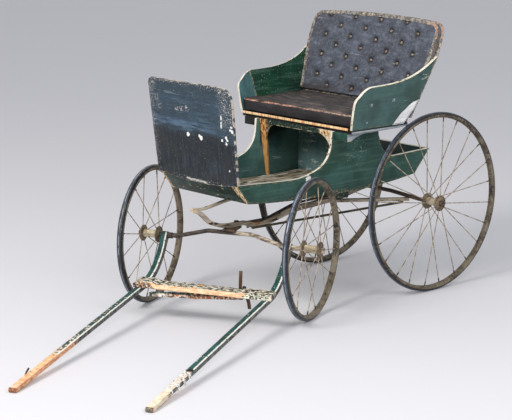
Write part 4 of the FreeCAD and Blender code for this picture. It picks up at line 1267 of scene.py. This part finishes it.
class CARRIAGE_OT_back_pad(bpy.types.Operator):
    """Tuft the back with buttons and bind its edge"""
    bl_idname = "carriage.back_pad"
    bl_label = "Tufted back"

    def execute(self, context):
        s = sizes()
        places = button_places()
        bm = copy_of("back_cushion")
        points = [back_coordinates(v.co) for v in bm.verts]
        thick = max(p[2] for p in points)
        low, high = min(p[1] for p in points), max(p[1] for p in points)
        for v in bm.verts:
            if back_coordinates(v.co)[2] > thick / 2:
                v.co -= BACK_OUT * 0.006
        pad = remeshed(bm, 5.5 * MM)

        def to_rim(x, up):
            """Distance in from the pad's side or top edge."""
            return min(PAD_HALF + PAD_SPREAD * up - abs(x), high - up)

        for v in pad.data.vertices:
            x, up, out = back_coordinates(v.co)
            if out > 0.010:
                gap = to_nearest(x, up, places)
                v.co -= BACK_OUT * (s.tuft_depth * (0.6 * math.exp(-(gap / 0.0085) ** 2)
                                                    + 0.4 * math.exp(-(gap / 0.018) ** 2)))

        def held(place):
            x, up, out = back_coordinates(place)
            if out < 0.006 or to_nearest(x, up, places) < 0.0065 or up - low < 0.004:
                return 1.0
            return 1.0 if to_rim(x, up) < s.binding else 0.0

        bm = swell(pad, 5.0, 7 * MM, held)
        dip = bm.verts.layers.float.new("dip")
        rim = bm.verts.layers.float.new("rim")
        for v in bm.verts:
            x, up, out = back_coordinates(v.co)
            gap = to_nearest(x, up, places)
            if out > 0.008:
                a, b = (x + row_drift(up) - FIRST_BUTTON) / s.tuft_across, (up - TOP_ROW) / s.tuft_up
                p, q = (a + b) / 2, (a - b) / 2
                fold = min(abs(p - round(p)), abs(q - round(q)))
                crease = math.exp(-(fold / 0.045) ** 2) * math.exp(-(gap / 0.030) ** 2)
                if to_rim(x, up) > 0.02:
                    v.co -= BACK_OUT * (0.0016 * crease)
                v.co += BACK_OUT * (0.0010 * noise.noise(v.co / 0.030))
                # dip marks the dimples and creases where the back's finish paints shade.
                v[dip] = max(math.exp(-(gap / 0.0165) ** 2), 0.28 * crease)
            v[rim] = max(0.0, 1.0 - max(to_rim(x, up), 0) / 0.045)
        bmesh.ops.subdivide_edges(bm, edges=bm.edges, cuts=1, use_grid_fill=True, smooth=0.6)
        bmesh.ops.recalc_face_normals(bm, faces=bm.faces)
        leather = piece("back_pad", bm, "carriage_body", [back_leather()],
                        ["back_cushion"], smooth=80)

        bm = bmesh.new()
        for x, up in places:
            add_dome(bm, on_back(x, up, thick - 0.0125), BACK_OUT, s.button, s.button * 0.62)
        piece("back_buttons", bm, "carriage_body", [button_hide()], smooth=60)
        self.bind(low)
        return {"FINISHED"}

    def bind(self, low):
        """Strip nailed over the edge of the hide, open along the bottom."""
        width = sizes().binding
        strip = copy_of("back_cushion")
        front = max(strip.faces, key=lambda f: f.normal.dot(BACK_OUT) * f.calc_area())
        bmesh.ops.delete(strip, geom=[f for f in strip.faces if f is not front], context="FACES")
        bmesh.ops.inset_region(strip, faces=strip.faces[:], thickness=width, use_even_offset=True,
                               use_boundary=True)
        inner = max(strip.faces, key=lambda f: f.calc_area())
        loop = [v.co.copy() for v in inner.verts]
        gone = [f for f in strip.faces
                if f is inner or back_coordinates(f.calc_center_median())[1] < low + width * 0.8]
        bmesh.ops.delete(strip, geom=gone, context="FACES")
        bmesh.ops.subdivide_edges(strip, edges=[e for e in strip.edges if e.calc_length() > 0.03],
                                  cuts=12, use_grid_fill=True)
        for v in strip.verts:
            v.co += BACK_OUT * (0.0006 * noise.noise(v.co / 0.012) - 0.0062)
        bmesh.ops.solidify(strip, geom=strip.faces[:], thickness=-0.0018)
        bmesh.ops.recalc_face_normals(strip, faces=strip.faces)
        piece("back_binding", strip, "carriage_body", [binding_leather()], smooth=50)
        middle = sum(loop, Vector()) / len(loop)
        bm = bmesh.new()
        left_over = 0.0
        for a, b in zip(loop, loop[1:] + loop[:1]):
            length = (b - a).length
            spot = left_over
            while spot < length:
                place = a.lerp(b, spot / length)
                place += (place - middle).normalized() * (width * 0.45)
                if back_coordinates(place)[1] > low + width:
                    add_dome(bm, place - BACK_OUT * 0.0044, BACK_OUT, 0.0021, 0.0014, 8)
                spot += 0.024
            left_over = spot - length
        piece("back_nails", bm, "carriage_body", [brass()], smooth=60)


class CARRIAGE_OT_seat_pad(bpy.types.Operator):
    """Stuff the seat cushion and sew its front edge"""
    bl_idname = "carriage.seat_pad"
    bl_label = "Seat cushion"

    def execute(self, context):
        low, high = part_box("seat_cushion")
        bm = copy_of("seat_cushion")
        centre = (low + high) / 2
        for v in bm.verts:
            v.co.x -= math.copysign(0.0012, v.co.x)
            v.co.y += 0.003 if v.co.y < centre.y else -0.0012
            if v.co.z > centre.z:
                v.co.z -= 0.003 if v.co.y < centre.y else 0.0004
            else:
                v.co.z += 0.0006
        round_edges(bm, 0.004, 2)
        pad = remeshed(bm, 6 * MM)

        def held(place):
            if place.z < low.z + 0.012 or abs(place.x) > high.x - 0.022:
                return 1.0
            return 0.9 if place.y > high.y - 0.03 else 0.0

        bm = swell(pad, 4.0, 4 * MM, held)
        for v in bm.verts:
            if v.co.z > high.z - 0.02 and v.co.y < high.y - 0.02:
                sag = 0.0028 * noise.noise(Vector((v.co.x / 0.10, v.co.y / 0.10, 3.1)))
                fold = 0.0011 * noise.noise(Vector((v.co.x / 0.040, v.co.y / 0.016, 7.7)))
                v.co.z += sag + fold
        bmesh.ops.subdivide_edges(bm, edges=bm.edges, cuts=1, use_grid_fill=True, smooth=0.5)
        bmesh.ops.recalc_face_normals(bm, faces=bm.faces)
        cushion = piece("seat_pad", bm, "carriage_body", [seat_leather()],
                        ["seat_cushion"], smooth=80)
        return {"FINISHED"}


TYRE_DEPTH = 11 * MM
TYRES = {
    # side: (finish, tread, shade); the left tread is painted lit and the right one painted shaded
    "left": ("left_tyre", "tyre", (30, 35, 43)),
    "right": ("right_tyre", (58, 62, 68), (30, 33, 38)),
}


class CARRIAGE_OT_wheels(bpy.types.Operator):
    """Make the four wire wheels"""
    bl_idname = "carriage.wheels"
    bl_label = "Wheels"

    def execute(self, context):
        s = sizes()
        for name, (centre, way, radius, count) in WHEELS.items():
            side = way.cross(Vector((0, 0, 1)))
            place = Matrix((
                (way.x, -side.x, 0, centre.x),
                (way.y, -side.y, 0, centre.y),
                (way.z, -side.z, 1, centre.z),
                (0, 0, 0, 1)))
            body = "wheel_" + name
            seat = radius - TYRE_DEPTH
            crown = [(-8.4, 0), (-9, 3.2), (-8.6, 6.4), (-7.0, 9.0), (-4.2, 10.6), (0, 11.0)]
            crown += [(-x, r) for x, r in reversed(crown[:-1])]
            tyre = spun([(x * MM, seat + r * MM) for x, r in crown], s.wheel_steps, place)
            layer = tyre.verts.layers.float.new("crown")
            back = place.inverted()
            for v in tyre.verts:
                local = back @ v.co
                v[layer] = (math.hypot(local.y, local.z) - seat) / TYRE_DEPTH
            rubber = tyre_with_wear_and_painted_sheen(*TYRES[name.split("_")[1]])
            piece(name + "_tyre_round", tyre, body, [rubber], [name + "_tyre"], 50)
            channel = [(-10.4, 2.6), (-9.8, 3.0), (-9.0, 2.4), (-8.6, 0.2), (8.6, 0.2), (9.0, 2.4),
                       (9.8, 3.0), (10.4, 2.6), (10.5, -4.0), (9.4, -5.6), (6.0, -7.6), (4.8, -8.0),
                       (-4.8, -8.0), (-6.0, -7.6), (-9.4, -5.6), (-10.5, -4.0)]
            rim = spun([(x * MM, seat + r * MM) for x, r in channel], s.wheel_steps, place)
            piece(name + "_rim_rolled", rim, body, [rim_finish()], [name + "_rim"], 40)
            flange = [(25.6, 13.6), (26.0, 26.0), (26.6, 26.8), (29.4, 26.8), (30.0, 26.0),
                      (30.2, 14.0), (31.4, 12.4), (32.0, 11.4), (32.0, 7.07)]
            hub = ([(x, r) for x, r in flange] + [(-x, r) for x, r in reversed(flange)]
                   + [(-22.6, 13.0), (-12, 12.6), (12, 12.6), (22.6, 13.0)])
            turned = spun([(x * MM, r * MM) for x, r in hub], 40, place)
            wires = bmesh.new()
            heads = bmesh.new()
            end = seat - 8 * MM
            for i in range(count):
                flank = 1 if i % 2 else -1
                angle = 2 * math.pi * (i + 0.5) / count
                radial = Vector((0, math.cos(angle), math.sin(angle)))
                a = Vector((flank * 28 * MM, 0, 0)) + radial * 23.5 * MM
                b = Vector((flank * 2 * MM, 0, 0)) + radial * end
                nipple = a.lerp(b, 1 - 0.013 / (b - a).length)
                root = a - radial * 2.5 * MM
                add_rod(wires, root, nipple, s.spoke, sides=8)
                add_rod(heads, nipple, b, 2.4 * MM, 2.0 * MM, sides=8)
                add_dome(heads, a + Vector((flank * 2.3 * MM, 0, 0)), (flank, 0, 0), 3.0 * MM, 1.6 * MM, 8)
            for part in (wires, heads):
                bmesh.ops.transform(part, matrix=place, verts=part.verts)
            whole = joined(turned, wires, heads)
            barrel = 0.0215
            for face in whole.faces:
                if face.material_index == 0:
                    middle = place.inverted() @ face.calc_center_median()
                    if abs(middle.x) < barrel and math.hypot(middle.y, middle.z) > 0.010:
                        face.material_index = 3
            finishes = [iron("hub_iron"), wire_finish(), iron("axle_iron"), barrel_paint()]
            piece(name + "_hub_and_wires", whole, body, finishes, [name + "_spokes"], 40)
        return {"FINISHED"}


class CARRIAGE_OT_running_gear(bpy.types.Operator):
    """Finish the reach, its slats and rods, the axles and their bolts"""
    bl_idname = "carriage.running_gear"
    bl_label = "Running gear"

    def execute(self, context):
        for node, finish, width, segments in (
                ("reach_pole", driftwood(), 4.6, 3), ("upper_spring_slat", driftwood(), 2.8, 3),
                ("rear_hound_left", driftwood(), 4.0, 3), ("rear_hound_right", driftwood(), 4.0, 3),
                ("rear_pedestal", driftwood(), 2.0, 3), ("king_bolt", iron("dark_iron"), 0.8, 3),
                ("reach_stay", iron("dark_iron"), 1.0, 3), ("hound_plate", iron("axle_iron"), 1.0, 3),
                ("reach_rod_left", iron("rod_iron"), 0.6, 2), ("reach_rod_right", iron("rod_iron"), 0.6, 2),
                ("rear_axle", iron("axle_iron"), 0.6, 2), ("front_axle", front_axle_iron(), 0.6, 2)):
            dress(node, [finish], width=width * MM, segments=segments)
        return {"FINISHED"}


class CARRIAGE_OT_shafts(bpy.types.Operator):
    """Finish the shafts, the crossbar, its upright and the swingletree"""
    bl_idname = "carriage.shafts"
    bl_label = "Shafts"

    def execute(self, context):
        for node, ends, bare, pale, bare_side, light, deep in (
                ("shaft_left", LEFT_SHAFT, 0.792, 0.90, 0.930, (236, 220, 190), (190, 176, 152)),
                ("shaft_right", RIGHT_SHAFT, 0.790, 1.02, 0.68, (228, 172, 130), (184, 124, 88))):
            finishes = [shaft_top(node + "_top", *ends, bare, pale),
                        shaft_side(node + "_side", bare_side, light, deep)]
            dress(node, finishes, lambda n, m: 1 if abs(n.dot(AXLE)) > 0.75 else 0,
                  width=1.6 * MM, segments=2)
        into_bar = BAR_FRAME.inverted().to_3x3()

        def bar_rule(normal, middle):
            n = into_bar @ normal
            return 1 if n.y < -0.2 and n.z > -0.5 else 0
        dress("crossbar", [chipped_bar(), bar_bare(), iron("dark_iron")], bar_rule, width=0.9 * MM)
        dress("swingletree", [swing_paint()], width=2.5 * MM, segments=3)
        dress("crossbar_upright", [stick_wood()], width=0.8 * MM)
        return {"FINISHED"}


def on_shaft(eye, tip, forward, across, height):
    """A point by a shaft: ahead of the front axle, left of the shaft's middle, above the floor."""
    return (FRONT_MID * Vector((1, 1, 0)) + AHEAD * forward
            + AXLE * (eye + (tip - eye) * forward / SHAFT_LENGTH + across) + Vector((0, 0, height)))


def rag_strip(bm, surface, forward, slant, width, far, near):
    """Torn strip that lies over the left shaft and hangs down its sides."""
    half = 0.0100  # of the shaft's flat top
    made = bmesh.ops.create_grid(bm, x_segments=26, y_segments=4, size=0.5)
    for v in made["verts"]:
        way, share = v.co.x + 0.5, v.co.y
        run = far + (near - far) * way
        over = min(max(run, -half), half)
        drop = max(abs(run) - half, 0.0)
        fray = noise.noise(Vector((way * 9, forward * 300, share)))
        ahead = forward + slant * run + share * width * (1 + 0.6 * fray)
        top = on_shaft(*LEFT_SHAFT, ahead, over, 0.2)
        hit = surface.ray_cast(top, Vector((0, 0, -1)))[0] or top * Vector((1, 1, 0.05))
        lift = 0.0010 + 0.0008 * noise.noise(Vector((way * 7, forward * 90, 2.0)))
        out = math.copysign(min(drop, 0.0026) + drop * 0.22, run)
        v.co = on_shaft(*LEFT_SHAFT, ahead, over + out, max(hit.z + lift - drop * 0.95, 0.0012))


class CARRIAGE_OT_fittings(bpy.types.Operator):
    """Add the rag, the peg, the knobs, bolts, nuts and nails"""
    bl_idname = "carriage.fittings"
    bl_label = "Fittings"

    def execute(self, context):
        shaft = copy_of("shaft_left")
        surface = BVHTree.FromBMesh(shaft)
        bm = bmesh.new()
        for forward, slant, width, far, near in (
                (0.806, 0.5, 0.014, -0.0175, 0.021), (0.822, -0.6, 0.010, -0.012, 0.026),
                (0.838, 0.8, 0.011, -0.020, 0.019), (0.856, -0.3, 0.009, -0.015, 0.027),
                (0.872, 0.9, 0.007, -0.010, 0.024), (0.888, 0.2, 0.010, -0.018, 0.026),
                (0.905, -0.7, 0.008, -0.011, 0.022), (0.922, 0.6, 0.009, -0.016, 0.020)):
            rag_strip(bm, surface, forward, slant, width, far, near)
        shaft.free()
        bmesh.ops.solidify(bm, geom=bm.faces[:], thickness=0.0007)
        bmesh.ops.recalc_face_normals(bm, faces=bm.faces)
        piece("shaft_rag", bm, "shafts", [frayed_cloth()], smooth=60)

        def bar(x, y, z):
            return BAR_FRAME @ Vector((x, y, z))
        turn = BAR_FRAME.to_3x3()
        up, back = turn @ Vector((0, 0, 1)), turn @ Vector((0, 1, 0))
        peg = tube([on_shaft(*RIGHT_SHAFT, *place) for place in (
            (0.945, -0.0135, 0.002), (0.948, -0.0140, 0.016), (0.945, -0.0150, 0.026),
            (0.936, -0.0090, 0.038))], 3.0 * MM)
        piece("shaft_peg", peg, "shafts", [stick_wood()], smooth=60)
        metal, wooden = bmesh.new(), bmesh.new()
        add_dome(wooden, bar(-0.012, 0.014, -0.0005), up, 0.0075, 0.0055, 14)
        add_dome(wooden, bar(0.205, -0.010, 0.0030), up, 0.0050, 0.0030, 12)
        add_nut(metal, bar(0.1275, 0.0238, 0.0015), back + up * 0.3, 0.0062, 0.006)
        for x, y in ((0.138, -0.001), (0.1455, 0.012), (-0.158, 0.004), (-0.150, -0.012), (0.05, 0.016),
                     (-0.085, 0.013)):
            add_dome(metal, bar(x, y, 0.0), up, 0.0023, 0.0011, 10)
        for x in (0.166, -0.176):
            add_nut(metal, bar(x, 0.002, 0.004), up, 0.0055, 0.0035)
        piece("crossbar_knobs", wooden, "shafts", [knob_wood()], smooth=60)
        piece("crossbar_irons", metal, "shafts", [iron("dark_iron")], smooth=40)
        lump = bmesh.new()
        add_dome(lump, SWING_FRAME @ Vector((0.022, -0.007, -0.0004)), up, 0.0070, 0.0042, 12)
        add_dome(lump, SWING_FRAME @ Vector((0.034, -0.008, -0.0004)), up, 0.0055, 0.0030, 12)
        piece("swingletree_lumps", lump, "swingletree", [swing_paint()], smooth=60)
        self.bolt_reach()
        return {"FINISHED"}

    def bolt_reach(self):
        """Bolts that hold the reach's pieces together, and nuts on the front axle."""
        bm = bmesh.new()
        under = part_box("reach_block")[1].z - 0.0665
        for x in (-0.020, 0.020):
            for y in (-0.183, -0.212):
                add_dome(bm, (x, y, under), (0, 0, -1), 0.0040, 0.0024, 12)
        piece("reach_bolts", bm, "carriage_body", [iron("dark_iron")], smooth=50)
        bm = bmesh.new()
        for side in (-1, 1):
            place = FRONT_MID + AXLE * (0.017 * side)
            place.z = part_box("front_axle")[1].z + 0.0048
            add_nut(bm, place, (0, 0, 1), 0.0050, 0.0040)
        piece("axle_bolts", bm, "front_gear", [iron("dark_iron")], smooth=50)


class CARRIAGE_OT_stage(bpy.types.Operator):
    """Set the floor, the lamps and the camera"""
    bl_idname = "carriage.stage"
    bl_label = "Studio"

    def execute(self, context):
        scene = context.scene
        bm = bmesh.new()
        bmesh.ops.create_circle(bm, cap_ends=True, segments=96, radius=40)
        mesh = bpy.data.meshes.new("floor")
        bm.to_mesh(mesh)
        bm.free()
        f = Finish("studio_floor", Specular_IOR_Level=0.1)
        f.base = f.mix(f.both(f.noise(0.8, detail=2.0), 0.25), "floor", (214, 213, 217))
        mesh.materials.append(f.finish(0.9))
        floor = bpy.data.objects.new("floor", mesh)
        scene.collection.objects.link(floor)

        world = bpy.data.worlds.new("studio")
        world.use_nodes = True
        scene.world = world
        nodes, link = world.node_tree.nodes, world.node_tree.links.new
        light = nodes["Background"]
        light.inputs["Color"].default_value = (0.93, 0.96, 1.0, 1.0)
        light.inputs["Strength"].default_value = 0.62
        backdrop = nodes.new("ShaderNodeBackground")
        backdrop.inputs["Color"].default_value = scene.carriage_paint.floor
        backdrop.inputs["Strength"].default_value = 1.0
        path = nodes.new("ShaderNodeLightPath")
        seen = path.outputs["Is Camera Ray"]
        for ray in ("Is Glossy Ray", "Is Transmission Ray"):
            either = nodes.new("ShaderNodeMath")
            either.operation = "MAXIMUM"
            link(seen, either.inputs[0])
            link(path.outputs[ray], either.inputs[1])
            seen = either.outputs[0]
        blend = nodes.new("ShaderNodeMixShader")
        for number, output in enumerate((seen, light.outputs[0], backdrop.outputs[0])):
            link(output, blend.inputs[number])
        link(blend.outputs[0], nodes["World Output"].inputs["Surface"])

        def lamp(name, place, size, power, tint):
            data = bpy.data.lights.new(name, "AREA")
            data.shape = "DISK"
            data.size = size
            data.energy = power
            data.color = tint
            obj = bpy.data.objects.new(name, data)
            way = Vector(place) - Vector((0, -0.4, 0.4))
            obj.matrix_world = Matrix.Translation(place) @ way.to_track_quat("Z", "Y").to_matrix().to_4x4()
            scene.collection.objects.link(obj)

        lamp("key", (0.4, -4.4, 3.6), 1.8, 150, (1.0, 0.98, 0.95))
        lamp("side", (3.4, -1.4, 2.9), 2.2, 55, (0.97, 0.98, 1.0))

        data = bpy.data.cameras.new("camera")
        data.sensor_width = 36
        data.lens = 125.5
        data.clip_end = 200
        camera = bpy.data.objects.new("camera", data)
        scene.collection.objects.link(camera)
        turn, down, roll = (math.radians(v) for v in (48.724, 11.828, 0.097))
        camera.matrix_world = (Matrix.Translation((4.2983, -4.3301, 1.5082))
                               @ Matrix.Rotation(turn, 4, "Z")
                               @ Matrix.Rotation(math.pi / 2 - down, 4, "X")
                               @ Matrix.Rotation(roll, 4, "Z"))
        scene.camera = camera
        scene.view_settings.view_transform = "Standard"
        return {"FINISHED"}


class CARRIAGE_PT_panel(bpy.types.Panel):
    """The carriage's pieces, in the order in which they are made"""
    bl_label = "Carriage"
    bl_idname = "CARRIAGE_PT_panel"
    bl_space_type = "VIEW_3D"
    bl_region_type = "UI"
    bl_category = "Carriage"

    def draw(self, context):
        for operator in OPERATORS:
            self.layout.operator(operator.bl_idname)
        for group in (context.scene.carriage_sizes, context.scene.carriage_paint):
            box = self.layout.box()
            for name in group.__annotations__:
                box.prop(group, name)


OPERATORS = (CARRIAGE_OT_body, CARRIAGE_OT_seat, CARRIAGE_OT_back_pad, CARRIAGE_OT_seat_pad,
             CARRIAGE_OT_wheels, CARRIAGE_OT_running_gear, CARRIAGE_OT_shafts, CARRIAGE_OT_fittings,
             CARRIAGE_OT_stage)
CLASSES = (CarriagePaint, CarriageSizes) + OPERATORS + (CARRIAGE_PT_panel,)


def register():
    for cls in CLASSES:
        bpy.utils.register_class(cls)
    bpy.types.Scene.carriage_paint = PointerProperty(type=CarriagePaint)
    bpy.types.Scene.carriage_sizes = PointerProperty(type=CarriageSizes)


def unregister():
    del bpy.types.Scene.carriage_sizes
    del bpy.types.Scene.carriage_paint
    for cls in reversed(CLASSES):
        bpy.utils.unregister_class(cls)


def main():
    register()
    bpy.ops.carriage.stage()
    bpy.ops.carriage.body()
    bpy.ops.carriage.seat()
    bpy.ops.carriage.back_pad()
    bpy.ops.carriage.seat_pad()
    bpy.ops.carriage.wheels()
    bpy.ops.carriage.running_gear()
    bpy.ops.carriage.shafts()
    bpy.ops.carriage.fittings()


if __name__ == "__main__":
    main()
